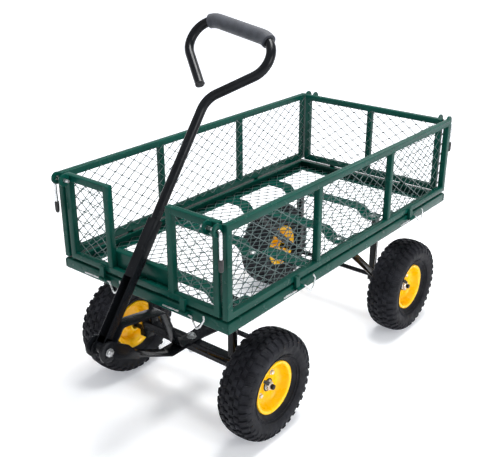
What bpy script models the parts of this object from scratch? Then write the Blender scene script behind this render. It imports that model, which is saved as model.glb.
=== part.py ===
"""Steel mesh garden cart with knuckle steering, a folding pull handle and drop-down mesh sides.

Metres, +Z up. The handle end faces -Y and the width runs along X. Everything is laid out from the middle
of the bed, and one root empty puts the whole cart's bounding box over the world origin.
"""

import math

import bmesh
import bpy
from mathutils import Matrix, Vector

GAP = 0.0003  # between pieces that rest on each other
RUN = 0.00015  # round a shaft in its bore, which leaves 0.02 to 0.05 mm at the flats

# Bed and tray
BED_LENGTH = 0.965
BED_WIDTH = 0.508
TRAY_BOTTOM = 0.3425
TRAY_TOP = 0.369
SHEET = 0.002
TRAY_LIP = 0.020
TRAY_FLANGE = 0.032
CART_SHIFT_Y = 0.0585  # from the bed's middle to the middle of the whole cart

# Side, front and rear panels
TUBE = 0.016
TUBE_WALL = 0.0015
PANEL_BOTTOM = 0.3745
PANEL_TOP = 0.585
END_PANEL_HALF = 0.230
SIDE_UPRIGHT_Y = 0.160
FRONT_UPRIGHT_X = 0.095
PLATE_TOP = 0.427
PLATE_FOLD = 0.014

# Mesh infill: a coarse lattice of flat bars with the weight of the fine wire mesh
BAR_HALF_WIDTH = 0.002
BAR_THICKNESS = 0.002
LATTICE_PITCH = 0.115
FLOOR_PITCH = 0.155

# Floor slats: where each lies, and where it is pressed down to take a support
SLAT_WIDTH = 0.038
SLAT_DIP = 0.022
SLATS = {
    "floor_slat_front": (-0.350, (-0.131, 0.131)),
    "floor_slat_middle_front": (-0.110, (0.020,)),
    "floor_slat_middle_rear": (0.100, (-0.1415, 0.1415)),
    "floor_slat_rear": (0.293, (-0.131, 0.131)),
}

# Wheels
TYRE_RADIUS = 0.1325
TYRE_HALF_WIDTH = 0.0436
TRACK_HALF = 0.227
FRONT_AXLE_Y = -0.324
REAR_AXLE_Y = 0.313
AXLE_RADIUS = 0.00635
AXLE_Z = TYRE_RADIUS
AXLE_END = 0.026  # past a wheel's middle plane
HUB_RADIUS = 0.0165
HUB_OUTER = 0.008
HUB_INNER = 0.028
FLANGE_REACH = 0.0275
TYRE_SIDES = 24

# Axle supports and steering
POST_X = 0.131
POST_HALF = 0.008
BOSS_HALF = 0.012
EYE_RADIUS = 0.0140
BEAM_HALF = 0.0125
BEAM_BOTTOM = 0.140
KNUCKLE_X = 0.155
PIN_RADIUS = 0.006
LINK_RADIUS = 0.004
PLATE_THICKNESS = 0.005
STEER_ARM = 0.085

# Tongue and handle
PIVOT_Y = -0.603
PIVOT_Z = 0.272
HANDLE_TILT = math.radians(53.6)
CHEEK_RADIUS = 0.024
CHEEK_INNER = 0.0195
SHAFT_RADIUS = 0.011
SHAFT_WALL = 0.0015
SLEEVE_HALF = 0.0125
SLEEVE_START = 0.164
SLEEVE_END = 0.300
GRIP_RADIUS = 0.017
LOOP_START = 0.590
LOOP_BEND = 0.052
LOOP_STEPS = 4
LOOP_RIGHT = (0.208, 0.733)
LOOP_LEFT = (-0.208, 0.803)
LOOP_END = (-0.034, 0.622)

# Corner latches and hinge clips
LATCH_RADIUS = 0.004
LATCH_REACH = 0.013  # from a panel's face to the latch's axis
LATCH_Z = 0.576
LATCH_INNER_X = 0.200
LATCH_OUTER_X = 0.2485
LEVER_BOTTOM = 0.495
TIP_TOP = 0.517
TIP_BOTTOM = 0.489
TIP_RADIUS = 0.0054
EAR_RADIUS = 0.015
EAR_HOLE = 0.0047
HINGE_REACH = 0.0085  # from the bed's face to the hinge wire
HINGE_Z = 0.3585
WIRE_RADIUS = 0.002
SIDE_HINGE_Y = 0.260
END_HINGE_X = 0.125

GREEN = ("dark_green_powder_coat", (0.004, 0.075, 0.052), 0.32, 0.0)
BLACK = ("black_gloss_paint", (0.012, 0.012, 0.014), 0.28, 0.0)
YELLOW = ("yellow_rim_paint", (0.90, 0.47, 0.02), 0.35, 0.0)
ZINC = ("zinc_plate", (0.62, 0.62, 0.60), 0.30, 1.0)
RUBBER = ("tyre_rubber", (0.022, 0.023, 0.026), 0.75, 0.0)
FOAM = ("black_foam", (0.030, 0.034, 0.045), 0.65, 0.0)
CAP = ("black_vinyl", (0.010, 0.010, 0.011), 0.50, 0.0)
WIRE_MESH = ("galvanised_mesh", (0.16, 0.21, 0.19), 0.45, 0.6)

materials = {}
bodies = {}


def material(spec):
    name, colour, roughness, metallic = spec
    if name not in materials:
        made = bpy.data.materials.new(name)
        made.use_nodes = True
        shader = made.node_tree.nodes["Principled BSDF"]
        shader.inputs["Base Color"].default_value = (*colour, 1.0)
        shader.inputs["Roughness"].default_value = roughness
        shader.inputs["Metallic"].default_value = metallic
        made.diffuse_color = (*colour, 1.0)
        materials[name] = made
    return materials[name]


def clear_scene():
    for obj in list(bpy.data.objects):
        bpy.data.objects.remove(obj, do_unlink=True)


def add_body(name, pivot, parent=None):
    """An empty on the body's joint axis, which carries the body's pieces."""
    empty = bpy.data.objects.new(f"{name}_pivot", None)
    empty.empty_display_size = 0.04
    bpy.context.scene.collection.objects.link(empty)
    pivot = Vector(pivot)
    if parent is None:
        empty.location = pivot
    else:
        empty.parent = bodies[parent][0]
        empty.location = pivot - bodies[parent][1]
    bodies[name] = (empty, pivot)


def add_piece(name, bm, body, spec, smooth=False):
    """Turns a mesh laid out from the bed's middle into a piece of a body."""
    empty, pivot = bodies[body]
    bmesh.ops.remove_doubles(bm, verts=bm.verts, dist=1e-6)
    bmesh.ops.recalc_face_normals(bm, faces=bm.faces)
    if bm.calc_volume(signed=True) < 0:
        bmesh.ops.reverse_faces(bm, faces=bm.faces)
    mesh = bpy.data.meshes.new(name)
    bm.to_mesh(mesh)
    bm.free()
    mesh.transform(Matrix.Translation(-pivot))
    if smooth:
        mesh.shade_smooth()
        mesh.set_sharp_from_angle(angle=math.radians(35))
    mesh.materials.append(material(spec))
    obj = bpy.data.objects.new(name, mesh)
    obj.parent = empty
    bpy.context.scene.collection.objects.link(obj)
    return obj


def joined(parts, holes=()):
    """One mesh from overlapping closed meshes, less the holes, by exact Booleans."""
    helpers = []
    for bm in (*parts, *holes):
        bmesh.ops.recalc_face_normals(bm, faces=bm.faces)
        mesh = bpy.data.meshes.new("helper")
        bm.to_mesh(mesh)
        bm.free()
        helper = bpy.data.objects.new("helper", mesh)
        helper.hide_render = True
        helper.display_type = "WIRE"
        bpy.context.scene.collection.objects.link(helper)
        helpers.append(helper)
    for number, helper in enumerate(helpers[1:], start=1):
        boolean = helpers[0].modifiers.new("join", "BOOLEAN")
        boolean.operation = "UNION" if number < len(parts) else "DIFFERENCE"
        boolean.object = helper
    bpy.context.view_layer.update()
    result = bmesh.new()
    result.from_object(helpers[0], bpy.context.evaluated_depsgraph_get())
    for helper in helpers:
        mesh = helper.data
        bpy.data.objects.remove(helper, do_unlink=True)
        bpy.data.meshes.remove(mesh)
    return result


def merge_flat_faces(bm):
    bm.normal_update()
    bmesh.ops.dissolve_limit(bm, angle_limit=math.radians(0.2), verts=bm.verts[:], edges=bm.edges[:])


def box(lo, hi):
    bm = bmesh.new()
    size = Vector(hi) - Vector(lo)
    middle = (Vector(hi) + Vector(lo)) / 2
    placed = Matrix.Translation(middle) @ Matrix.Diagonal((*size, 1.0))
    bmesh.ops.create_cube(bm, size=1.0, matrix=placed)
    return bm


def cells(xs, ys, zs, filled):
    """A solid made of the grid cells that filled(i, j, k) picks, with only its outer faces."""
    counts = (len(xs) - 1, len(ys) - 1, len(zs) - 1)
    bm = bmesh.new()
    corners = {}

    def corner(i, j, k):
        if (i, j, k) not in corners:
            corners[i, j, k] = bm.verts.new((xs[i], ys[j], zs[k]))
        return corners[i, j, k]

    def solid(cell):
        return all(0 <= cell[n] < counts[n] for n in range(3)) and filled(*cell)

    for i in range(counts[0]):
        for j in range(counts[1]):
            for k in range(counts[2]):
                if not solid((i, j, k)):
                    continue
                for axis in range(3):
                    for side in (0, 1):
                        beside = [i, j, k]
                        beside[axis] += 1 if side else -1
                        if solid(tuple(beside)):
                            continue
                        loop = []
                        for u, v in ((0, 0), (1, 0), (1, 1), (0, 1)):
                            at = [i, j, k]
                            at[axis] += side
                            at[(axis + 1) % 3] += u
                            at[(axis + 2) % 3] += v
                            loop.append(corner(*at))
                        bm.faces.new(loop if side else loop[::-1])
    merge_flat_faces(bm)
    return bm


def extruded(outline, to_world, depth):
    """A flat outline of (u, v) points given thickness. to_world(u, v, w) places each point."""
    bm = bmesh.new()
    near = [bm.verts.new(to_world(u, v, 0.0)) for u, v in outline]
    far = [bm.verts.new(to_world(u, v, depth)) for u, v in outline]
    bm.faces.new(near)
    bm.faces.new(far[::-1])
    for n in range(len(outline)):
        after = (n + 1) % len(outline)
        bm.faces.new((near[n], far[n], far[after], near[after]))
    return bm


def turned(profile, centre, sides, axis="X"):
    """A closed (along, radius) profile turned round an axis through centre. A radius of 0 makes a pole."""
    bm = bmesh.new()
    rings = []
    for along, radius in profile:
        ring = []
        for n in range(sides if radius > 0 else 1):
            angle = 2 * math.pi * (n + 0.5) / sides
            across = (radius * math.cos(angle), radius * math.sin(angle))
            offset = (along, *across) if axis == "X" else (*across, along)
            ring.append(bm.verts.new(Vector(centre) + Vector(offset)))
        rings.append(ring)
    for here, there in zip(rings, rings[1:] + rings[:1]):
        if len(here) == len(there) == 1:
            continue
        for n in range(sides):
            after = (n + 1) % sides
            loop = [here[n % len(here)], here[after % len(here)]]
            loop += [there[after % len(there)], there[n % len(there)]]
            bm.faces.new(list(dict.fromkeys(loop)))
    bmesh.ops.recalc_face_normals(bm, faces=bm.faces)
    return bm


def cylinder(start, end, radius, sides, axis="X", middle=(0, 0, 0)):
    return turned([(start, 0.0), (start, radius), (end, radius), (end, 0.0)], middle, sides, axis)


def ring(start, end, inner, outer, sides, axis="X", middle=(0, 0, 0)):
    return turned([(start, inner), (start, outer), (end, outer), (end, inner)], middle, sides, axis)


def rounded(corners, radius, steps):
    """A path through the corners, each inner one replaced by an arc of the radius."""
    points = [Vector(corners[0])]
    for before, at, after in zip(corners, corners[1:], corners[2:]):
        at = Vector(at)
        to_before = (Vector(before) - at).normalized()
        to_after = (Vector(after) - at).normalized()
        half = to_before.angle(to_after) / 2
        centre = at + (to_before + to_after).normalized() * radius / math.sin(half)
        start = at + to_before * radius / math.tan(half) - centre
        end = at + to_after * radius / math.tan(half) - centre
        sweep = start.angle(end)
        for n in range(steps + 1):
            share = n / steps
            mixed = start * math.sin((1 - share) * sweep) + end * math.sin(share * sweep)
            points.append(centre + mixed / math.sin(sweep))
    points.append(Vector(corners[-1]))
    return points


def swept(path, radius, sides, bore=0.0):
    """A round rod along a path, or a tube with open ends where there is a bore."""
    bm = bmesh.new()
    across = (path[1] - path[0]).orthogonal().normalized()
    rings = []
    skins = [radius, bore] if bore else [radius]
    for n, point in enumerate(path):
        along = (path[min(n + 1, len(path) - 1)] - path[max(n - 1, 0)]).normalized()
        across = (across - along * across.dot(along)).normalized()
        upward = along.cross(across)
        turns = [2 * math.pi * m / sides for m in range(sides)]
        spokes = [across * math.cos(turn) + upward * math.sin(turn) for turn in turns]
        rings.append([[bm.verts.new(point + spoke * r) for spoke in spokes] for r in skins])
    for here, there in zip(rings, rings[1:]):
        for skin in range(len(here)):
            for n in range(sides):
                after = (n + 1) % sides
                bm.faces.new((here[skin][n], here[skin][after], there[skin][after], there[skin][n]))
    for end in (rings[0], rings[-1]):
        if bore:
            for n in range(sides):
                after = (n + 1) % sides
                bm.faces.new((end[0][n], end[0][after], end[1][after], end[1][n]))
        else:
            bm.faces.new(end[0])
    return bm


def clipped(polygon, axis, limit, keep_above):
    """A convex polygon cut by one line."""
    result = []
    for here, there in zip(polygon, polygon[1:] + polygon[:1]):
        inside = [(p[axis] - limit) * (1 if keep_above else -1) >= 0 for p in (here, there)]
        if inside[0]:
            result.append(here)
        if inside[0] != inside[1]:
            share = (limit - here[axis]) / (there[axis] - here[axis])
            result.append(tuple(a + share * (b - a) for a, b in zip(here, there)))
    return result


def lattice(low, high, to_world, pitch=LATTICE_PITCH):
    """A flat sheet from low to high (u, v) with diamond openings, BAR_THICKNESS thick."""
    border = 2 * BAR_HALF_WIDTH
    bm = bmesh.new()

    def add_loop(points):
        verts = [bm.verts.new((*p, 0.0)) for p in points]
        for here, there in zip(verts, verts[1:] + verts[:1]):
            bm.edges.new((here, there))

    add_loop([low, (high[0], low[1]), high, (low[0], high[1])])
    counts = [max(1, round((high[n] - low[n]) / pitch)) for n in (0, 1)]
    half = [(high[n] - low[n]) / counts[n] / 2 for n in (0, 1)]
    shrink = 1 - BAR_HALF_WIDTH * math.hypot(1 / half[0], 1 / half[1])
    for i in range(2 * counts[0] + 1):
        for j in range(2 * counts[1] + 1):
            if (i + j) % 2:
                continue
            middle = (low[0] + i * half[0], low[1] + j * half[1])
            reach = (half[0] * shrink, half[1] * shrink)
            hole = []
            for a, b in ((1, 0), (0, 1), (-1, 0), (0, -1)):
                hole.append((middle[0] + reach[0] * a, middle[1] + reach[1] * b))
            for axis in (0, 1):
                hole = clipped(hole, axis, low[axis] + border, True)
                hole = clipped(hole, axis, high[axis] - border, False) if hole else hole
            if len(hole) >= 3:
                add_loop(hole)
    bmesh.ops.triangle_fill(bm, edges=bm.edges, use_beauty=True)
    sheet = bmesh.ops.extrude_face_region(bm, geom=bm.faces[:])
    moved = [item for item in sheet["geom"] if isinstance(item, bmesh.types.BMVert)]
    bmesh.ops.translate(bm, verts=moved, vec=(0, 0, BAR_THICKNESS))
    for vert in bm.verts:
        vert.co = to_world(*vert.co)
    return bm


# ---------------------------------------------------------------- bed


def make_tray():
    half = (BED_WIDTH / 2, BED_LENGTH / 2)
    insets = (0.0, SHEET, TRAY_LIP, TRAY_FLANGE)
    xs = [-half[0] + inset for inset in insets] + [half[0] - inset for inset in reversed(insets)]
    ys = [-half[1] + inset for inset in insets] + [half[1] - inset for inset in reversed(insets)]
    zs = (TRAY_BOTTOM, TRAY_BOTTOM + SHEET, TRAY_TOP - SHEET, TRAY_TOP)
    last = len(xs) - 2

    def filled(i, j, k):
        ring_number = min(i, last - i, j, last - j)
        return ring_number < (3, 1, 2)[k]

    eyes = []
    for at_side, centre in hinge_places():
        eyes.append(tray_eye(at_side, centre))
    add_piece("tray_frame", joined([cells(xs, ys, zs, filled)] + eyes), "bed", GREEN)


def hinge_places():
    """(direction out of the bed, position of the hinge clip) for the eight clips."""
    places = []
    for side in (-1, 1):
        for y in (-SIDE_HINGE_Y, SIDE_HINGE_Y):
            places.append((Vector((side, 0, 0)), Vector((side * BED_WIDTH / 2, y, HINGE_Z))))
    for end in (-1, 1):
        for x in (-END_HINGE_X, END_HINGE_X):
            places.append((Vector((0, end, 0)), Vector((x, end * BED_LENGTH / 2, HINGE_Z))))
    return places


def placed_along(out, centre):
    """A placing function for shapes drawn with u along the bed's edge, v out of it and w up."""
    along = Vector((0, 0, 1)).cross(out)

    def to_world(u, v, w):
        return centre + along * u + out * v + Vector((0, 0, w))

    return to_world


def eye_outline(reach, up, wall):
    """The side view of a flat tab with a round end about the hinge wire."""
    turns = [math.radians(angle) for angle in range(-90, 91, 30)]
    round_end = [(reach + wall * math.cos(turn), wall * math.sin(turn)) for turn in turns]
    return [(-0.001, -wall), *round_end, (reach - wall * 0.2, up), (-0.001, up)]


def tray_eye(out, centre):
    """A lug on the tray's wall that the hinge wire passes through."""
    to_world = placed_along(out, centre)
    outline = eye_outline(HINGE_REACH, 0.0045, 0.0045)
    lug = extruded(outline, lambda v, w, u: to_world(u + 0.017, v, w), 0.010)
    hole = wire_hole(to_world, 0.010, 0.034)
    return joined([lug], [hole])


def wire_hole(to_world, start, end):
    sides = 10
    radius = WIRE_RADIUS + 2 * GAP
    turns = [2 * math.pi * n / sides for n in range(sides)]
    outline = [(HINGE_REACH + radius * math.cos(turn), radius * math.sin(turn)) for turn in turns]
    return extruded(outline, lambda v, w, u: to_world(u + start, v, w), end - start)


def make_floor():
    side = BED_WIDTH / 2 - SHEET - 0.002
    end = BED_LENGTH / 2 - SHEET - 0.002
    base = TRAY_BOTTOM + 2 * SHEET + 2 * GAP
    sheet = lattice((-side, -end), (side, end), lambda u, v, w: Vector((u, v, base + w)), FLOOR_PITCH)
    add_piece("floor_mesh", sheet, "bed", WIRE_MESH)


def slat_height(x, dips):
    reach = 0.046
    drop = 0.0
    for dip in dips:
        if abs(x - dip) < reach:
            drop = max(drop, min(1.0, 0.75 * (1 + math.cos(math.pi * (x - dip) / reach))))
    return -SLAT_DIP * drop


def make_slats():
    base = TRAY_BOTTOM + SHEET + GAP
    reach = BED_WIDTH / 2 - SHEET - 0.002
    for name, (y, dips) in SLATS.items():
        steps = {-reach, reach}
        for dip in dips:
            steps.update(dip + 0.046 * share for share in (-1.0, -0.75, -0.5, -0.39, 0.39, 0.5, 0.75, 1.0))
        line = [(x, base + slat_height(x, dips)) for x in sorted(steps)]
        outline = line + [(x, z + SHEET) for x, z in reversed(line)]
        start = y - SLAT_WIDTH / 2
        slat = extruded(outline, lambda x, z, w, start=start: Vector((x, start + w, z)), SLAT_WIDTH)
        add_piece(name, slat, "bed", GREEN)


# ---------------------------------------------------------------- axle supports and steering

FOOT_TOP = TRAY_BOTTOM + SHEET + GAP - SLAT_DIP - GAP
FOOT_THICKNESS = 0.003


def foot(x, slat_y, post_y):
    """The plate that bolts under a slat's dip and reaches over the post."""
    lo = (x - 0.015, min(slat_y, post_y) - 0.012, FOOT_TOP - FOOT_THICKNESS)
    hi = (x + 0.015, max(slat_y, post_y) + 0.012, FOOT_TOP)
    return box(lo, hi)


def make_rear_axle():
    reach = TRACK_HALF + AXLE_END
    axle = cylinder(-reach, reach, AXLE_RADIUS, 16, middle=(0, REAR_AXLE_Y, AXLE_Z))
    add_piece("rear_axle", axle, "bed", BLACK, smooth=True)
    slat_y = SLATS["floor_slat_rear"][0]
    for side, word in ((-1, "left"), (1, "right")):
        x = side * POST_X
        top = FOOT_TOP - FOOT_THICKNESS / 2
        low = (x - POST_HALF, REAR_AXLE_Y - POST_HALF, AXLE_Z)
        post = box(low, (x + POST_HALF, REAR_AXLE_Y + POST_HALF, top))
        inner = POST_HALF - 0.0005
        boss = box(
            (x - inner, REAR_AXLE_Y - BOSS_HALF, AXLE_Z - BOSS_HALF),
            (x + inner, REAR_AXLE_Y + BOSS_HALF, AXLE_Z + BOSS_HALF),
        )
        bore = axle_bore(x, REAR_AXLE_Y)
        support = joined([post, boss, foot(x, slat_y, REAR_AXLE_Y)], [bore])
        add_piece(f"rear_post_{word}", support, "bed", BLACK)
        make_rear_brace(side, word)


def axle_bore(x, y):
    """What cuts the axle's hole through something thin at x."""
    return cylinder(x - 0.02, x + 0.02, AXLE_RADIUS + RUN, 16, middle=(0, y, AXLE_Z))


def make_rear_brace(side, word):
    """A flat strap from the axle forward and up to the middle slat."""
    slat_y = SLATS["floor_slat_middle_rear"][0]
    inner = POST_X + POST_HALF + 0.0005
    thickness = 0.004
    half = 0.010
    low = Vector((REAR_AXLE_Y, AXLE_Z))
    high = Vector((slat_y, FOOT_TOP - FOOT_THICKNESS / 2))
    along = (high - low).normalized()
    across = Vector((-along.y, along.x)) * half
    start = math.atan2(across.y, across.x)
    turns = [start + math.pi * n / 6 for n in range(7)]
    round_end = [low + Vector((math.cos(turn), math.sin(turn))) * half for turn in turns]
    outline = [tuple(point) for point in (*round_end, high - across, high + across)]

    def to_world(y, z, w):
        return Vector((side * (inner + w), y, z))

    strap = extruded(outline, to_world, thickness)
    x = side * inner
    trim = box((x - 0.03, slat_y - 0.05, FOOT_TOP - 0.0001), (x + 0.03, slat_y + 0.05, FOOT_TOP + 0.03))
    middle = side * (inner + thickness / 2)
    plate_half = 0.014
    plate = box(
        (middle - plate_half, slat_y - plate_half, FOOT_TOP - FOOT_THICKNESS),
        (middle + plate_half, slat_y + plate_half, FOOT_TOP),
    )
    brace = joined([strap, plate], [trim, axle_bore(x, REAR_AXLE_Y)])
    add_piece(f"rear_brace_{word}", brace, "bed", BLACK)


def make_front_support():
    """The fixed front frame: a cross beam with an eye at each end, and a post to each dip of the front slat."""
    y = FRONT_AXLE_Y
    top = BEAM_BOTTOM + 2 * BEAM_HALF
    parts = [box((-KNUCKLE_X, y - BEAM_HALF, BEAM_BOTTOM), (KNUCKLE_X, y + BEAM_HALF, top))]
    holes = [cylinder(BEAM_BOTTOM - 0.01, top + 0.01, PIN_RADIUS + RUN, 16, "Z", (0, y, 0))]
    for side in (-1, 1):
        x = side * POST_X
        post_top = FOOT_TOP - FOOT_THICKNESS / 2
        parts.append(box((x - POST_HALF, y - POST_HALF, top - 0.004), (x + POST_HALF, y + POST_HALF, post_top)))
        parts.append(foot(x, SLATS["floor_slat_front"][0], y))
        eye = (side * KNUCKLE_X, y, 0)
        parts.append(cylinder(BEAM_BOTTOM + 0.001, top - 0.001, EYE_RADIUS, 16, "Z", eye))
        holes.append(cylinder(BEAM_BOTTOM - 0.01, top + 0.01, PIN_RADIUS + RUN, 16, "Z", eye))
    add_piece("front_axle_support", joined(parts, holes), "bed", BLACK)


STEER_LEVEL = BEAM_BOTTOM + 2 * BEAM_HALF + GAP
TIE_LEVEL = STEER_LEVEL + PLATE_THICKNESS + GAP


def make_kingpin():
    """The bolt that the tongue turns on, with its head on top and its nut under the beam."""
    head = TIE_LEVEL
    profile = [
        (BEAM_BOTTOM - 0.010, 0.0),
        (BEAM_BOTTOM - 0.010, 0.0095),
        (BEAM_BOTTOM - GAP, 0.0095),
        (BEAM_BOTTOM - GAP, PIN_RADIUS),
        (head, PIN_RADIUS),
        (head, 0.0115),
        (head + 0.002, 0.0115),
        (head + 0.003, 0.0085),
        (head + 0.008, 0.0085),
        (head + 0.009, 0.0),
    ]
    add_piece("kingpin_bolt", turned(profile, (0, FRONT_AXLE_Y, 0), 12, "Z"), "bed", ZINC, smooth=True)


def make_knuckles():
    """Each knuckle turns in the beam's eye and carries a stub axle and a steering arm."""
    y = FRONT_AXLE_Y
    for side, word in ((-1, "left"), (1, "right")):
        x = side * KNUCKLE_X
        block = box((x - 0.013, y - 0.013, AXLE_Z - 0.0135), (x + 0.013, y + 0.013, BEAM_BOTTOM - GAP))
        ends = sorted((x, side * (TRACK_HALF + AXLE_END)))
        stub = cylinder(ends[0], ends[1], AXLE_RADIUS, 16, middle=(0, y, AXLE_Z))
        pin = cylinder(AXLE_Z - 0.002, STEER_LEVEL + PLATE_THICKNESS + 0.004, PIN_RADIUS, 16, "Z", (x, y, 0))
        arm = box((x - 0.010, y, STEER_LEVEL), (x + 0.010, y + STEER_ARM, STEER_LEVEL + PLATE_THICKNESS))
        low, high = STEER_LEVEL + 0.0002, STEER_LEVEL + PLATE_THICKNESS - 0.0002
        root = cylinder(low, high, 0.0115, 16, "Z", (x, y, 0))
        end = cylinder(low, high, 0.0102, 16, "Z", (x, y + STEER_ARM, 0))
        link = (x, y + STEER_ARM, 0)
        hole = cylinder(STEER_LEVEL - 0.01, STEER_LEVEL + 0.02, LINK_RADIUS + RUN, 12, "Z", link)
        knuckle = joined([block, stub, pin, arm, root, end], [hole])
        add_piece(f"knuckle_{word}", knuckle, f"knuckle_{word}", BLACK)


def make_tie_rod():
    """One flat bar that links both knuckle arms to the tongue, so that all three turn together."""
    y = FRONT_AXLE_Y + STEER_ARM
    low, high = TIE_LEVEL, TIE_LEVEL + 0.004
    parts = [box((-KNUCKLE_X, y - 0.008, low), (KNUCKLE_X, y + 0.008, high))]
    for x in (-KNUCKLE_X, 0, KNUCKLE_X):
        if x:
            parts.append(cylinder(low + 0.0002, high - 0.0002, 0.0082, 16, "Z", (x, y, 0)))
        parts.append(cylinder(STEER_LEVEL - 0.006, high + 0.005, LINK_RADIUS, 12, "Z", (x, y, 0)))
    add_piece("tie_rod", joined(parts), "tie_rod", BLACK)


def ribbon(line, half_width, thickness):
    """A flat strap of constant width that follows a line of (y, z) points."""
    left, right = [], []
    for n, point in enumerate(line):
        before, after = line[max(n - 1, 0)], line[min(n + 1, len(line) - 1)]
        along = (Vector(after) - Vector(before)).normalized()
        normal = Vector((-along.y, along.x)) * thickness / 2
        left.append(Vector(point) + normal)
        right.append(Vector(point) - normal)
    outline = [tuple(p) for p in left + right[::-1]]
    return extruded(outline, lambda y, z, w: Vector((w - half_width, y, z)), 2 * half_width)


def make_tongue():
    """The steering plate, which rises to a clevis of two round cheeks round the handle's pivot."""
    y = FRONT_AXLE_Y
    low, high = STEER_LEVEL, STEER_LEVEL + PLATE_THICKNESS
    rear = y + STEER_ARM + 0.013
    right = [(0.020, -0.410), (0.020, y + 0.02), (0.030, rear - 0.012), (0.020, rear)]
    plan = right + [(-x, v) for x, v in reversed(right)]
    flat = extruded(plan, lambda x, v, w: Vector((x, v, low + w)), PLATE_THICKNESS)
    middle = (low + high) / 2
    rising = [(-0.400, middle), (-0.412, middle + 0.0005), (-0.545, 0.2315), (-0.562, 0.238)]
    rise = ribbon(rising, 0.0199, PLATE_THICKNESS * 0.98)
    parts = [flat, rise]
    for side in (-1, 1):
        parts.append(cheek(side))
    holes = [
        cylinder(low - 0.01, high + 0.01, PIN_RADIUS + RUN, 16, "Z", (0, y, 0)),
        cylinder(low - 0.01, high + 0.01, LINK_RADIUS + RUN, 12, "Z", (0, y + STEER_ARM, 0)),
        cylinder(-0.04, 0.04, PIN_RADIUS + RUN, 16, middle=(0, PIVOT_Y, PIVOT_Z)),
    ]
    add_piece("tongue", joined(parts, holes), "tongue", BLACK)
    corners = [(-0.581, 0.2735), (-0.553, 0.3095), (-0.425, 0.288), (-0.377, 0.1727), (-0.350, 0.1727)]
    upper = rounded([(0, *corner) for corner in corners], 0.012, 3)
    strap = ribbon([(point.y, point.z) for point in upper], 0.0188, 0.004)
    add_piece("tongue_upper_strap", strap, "tongue", BLACK)


def cheek(side):
    """A clevis cheek: round at the pivot, tapering back to the rising plate."""
    turns = [math.radians(angle) for angle in range(60, 301, 24)]
    outline = []
    for turn in turns:
        outline.append((PIVOT_Y + CHEEK_RADIUS * math.cos(turn), PIVOT_Z + CHEEK_RADIUS * math.sin(turn)))
    outline += [(-0.520, 0.2145), (-0.515, 0.2235), (-0.545, 0.262)]
    return extruded(outline, lambda y, z, w: Vector((side * (CHEEK_INNER + w), y, z)), PLATE_THICKNESS)


def make_clevis_bolt():
    reach = CHEEK_INNER + PLATE_THICKNESS + GAP
    profile = [
        (-reach - 0.007, 0.0),
        (-reach - 0.007, 0.0095),
        (-reach, 0.0095),
        (-reach, PIN_RADIUS),
        (reach, PIN_RADIUS),
        (reach, 0.0095),
        (reach + 0.006, 0.0095),
        (reach + 0.006, 0.0),
    ]
    add_piece("clevis_bolt", turned(profile, (0, PIVOT_Y, PIVOT_Z), 12), "tongue", ZINC, smooth=True)


# ---------------------------------------------------------------- handle

SHAFT = Vector((0, math.cos(HANDLE_TILT), math.sin(HANDLE_TILT)))
SHAFT_FRONT = Vector((0, -math.sin(HANDLE_TILT), math.cos(HANDLE_TILT)))
PIVOT = Vector((0, PIVOT_Y, PIVOT_Z))


def on_handle(across, along, forward=0.0):
    return PIVOT + Vector((across, 0, 0)) + SHAFT * along + SHAFT_FRONT * forward


def make_hitch_channel():
    """The folded lower part: an open channel with a round foot on the pivot, and a closed sleeve at its top."""
    half, wall = SLEEVE_HALF, 0.0012
    foot_radius = 0.017
    xs = (-half, -half + wall, half - wall, half)
    ws = (-half, -half + wall, half - wall, half)
    vs = (0.010, SLEEVE_START, SLEEVE_END)

    def filled(i, j, k):
        return i != 1 or k == 0 or (k == 2 and j == 1)

    body = cells(xs, vs, ws, filled)
    for vert in body.verts:
        vert.co = on_handle(*vert.co)
    foot_round = cylinder(-half, half, foot_radius, 20, middle=PIVOT)
    bore = cylinder(-0.03, 0.03, PIN_RADIUS + RUN, 16, middle=PIVOT)
    add_piece("hitch_channel", joined([body, foot_round], [bore]), "handle", BLACK)


def make_handle_tube():
    corners = [
        on_handle(0, SLEEVE_START + 0.006),
        on_handle(0, LOOP_START),
        on_handle(*LOOP_RIGHT),
        on_handle(*LOOP_LEFT),
        on_handle(*LOOP_END),
    ]
    path = rounded(corners, LOOP_BEND, LOOP_STEPS)
    tube = swept(path, SHAFT_RADIUS, 10, SHAFT_RADIUS - SHAFT_WALL)
    add_piece("handle_tube", tube, "handle", BLACK, smooth=True)
    straight = 2 * (LOOP_STEPS + 1)  # the straight that the hand holds ends the second bend
    right_end = path[straight - 1].lerp(path[straight], 0.2)
    left_end = path[straight + 1].lerp(path[straight + 2], 0.8)
    held = [right_end, path[straight], path[straight + 1], left_end]
    add_piece("grip_foam", swept(held, GRIP_RADIUS, 16, SHAFT_RADIUS + 2 * GAP), "handle", FOAM, smooth=True)


# ---------------------------------------------------------------- wheels

TYRE_CROWN = ((0.40, 1.0), (0.86, 0.93), (1.0, 0.79), (0.92, 0.66), (0.585, 0.53))
TYRE_LINING = ((0.32, 0.94), (0.84, 0.79), (0.44, 0.53))
RIM_EDGE = 0.0665
WASHER_RADIUS = 0.013
WASHER_THICKNESS = 0.002
NUT_RADIUS = 0.0105
NUT_LENGTH = 0.011


def make_tyre(name, body, centre):
    """A hollow tyre that is open towards the rim, as wide as it is drawn by the crown's outline."""
    radius = TYRE_RADIUS / math.cos(math.pi / TYRE_SIDES)  # so that the lowest flat lies on the floor
    outer = [(across * TYRE_HALF_WIDTH, share * radius) for across, share in TYRE_CROWN]
    inner = [(across * TYRE_HALF_WIDTH, share * radius) for across, share in TYRE_LINING]
    half = outer + inner[::-1]
    profile = half + [(-across, radius) for across, radius in half[::-1]]
    add_piece(name, turned(profile, centre, TYRE_SIDES), body, RUBBER, smooth=True)


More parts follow.
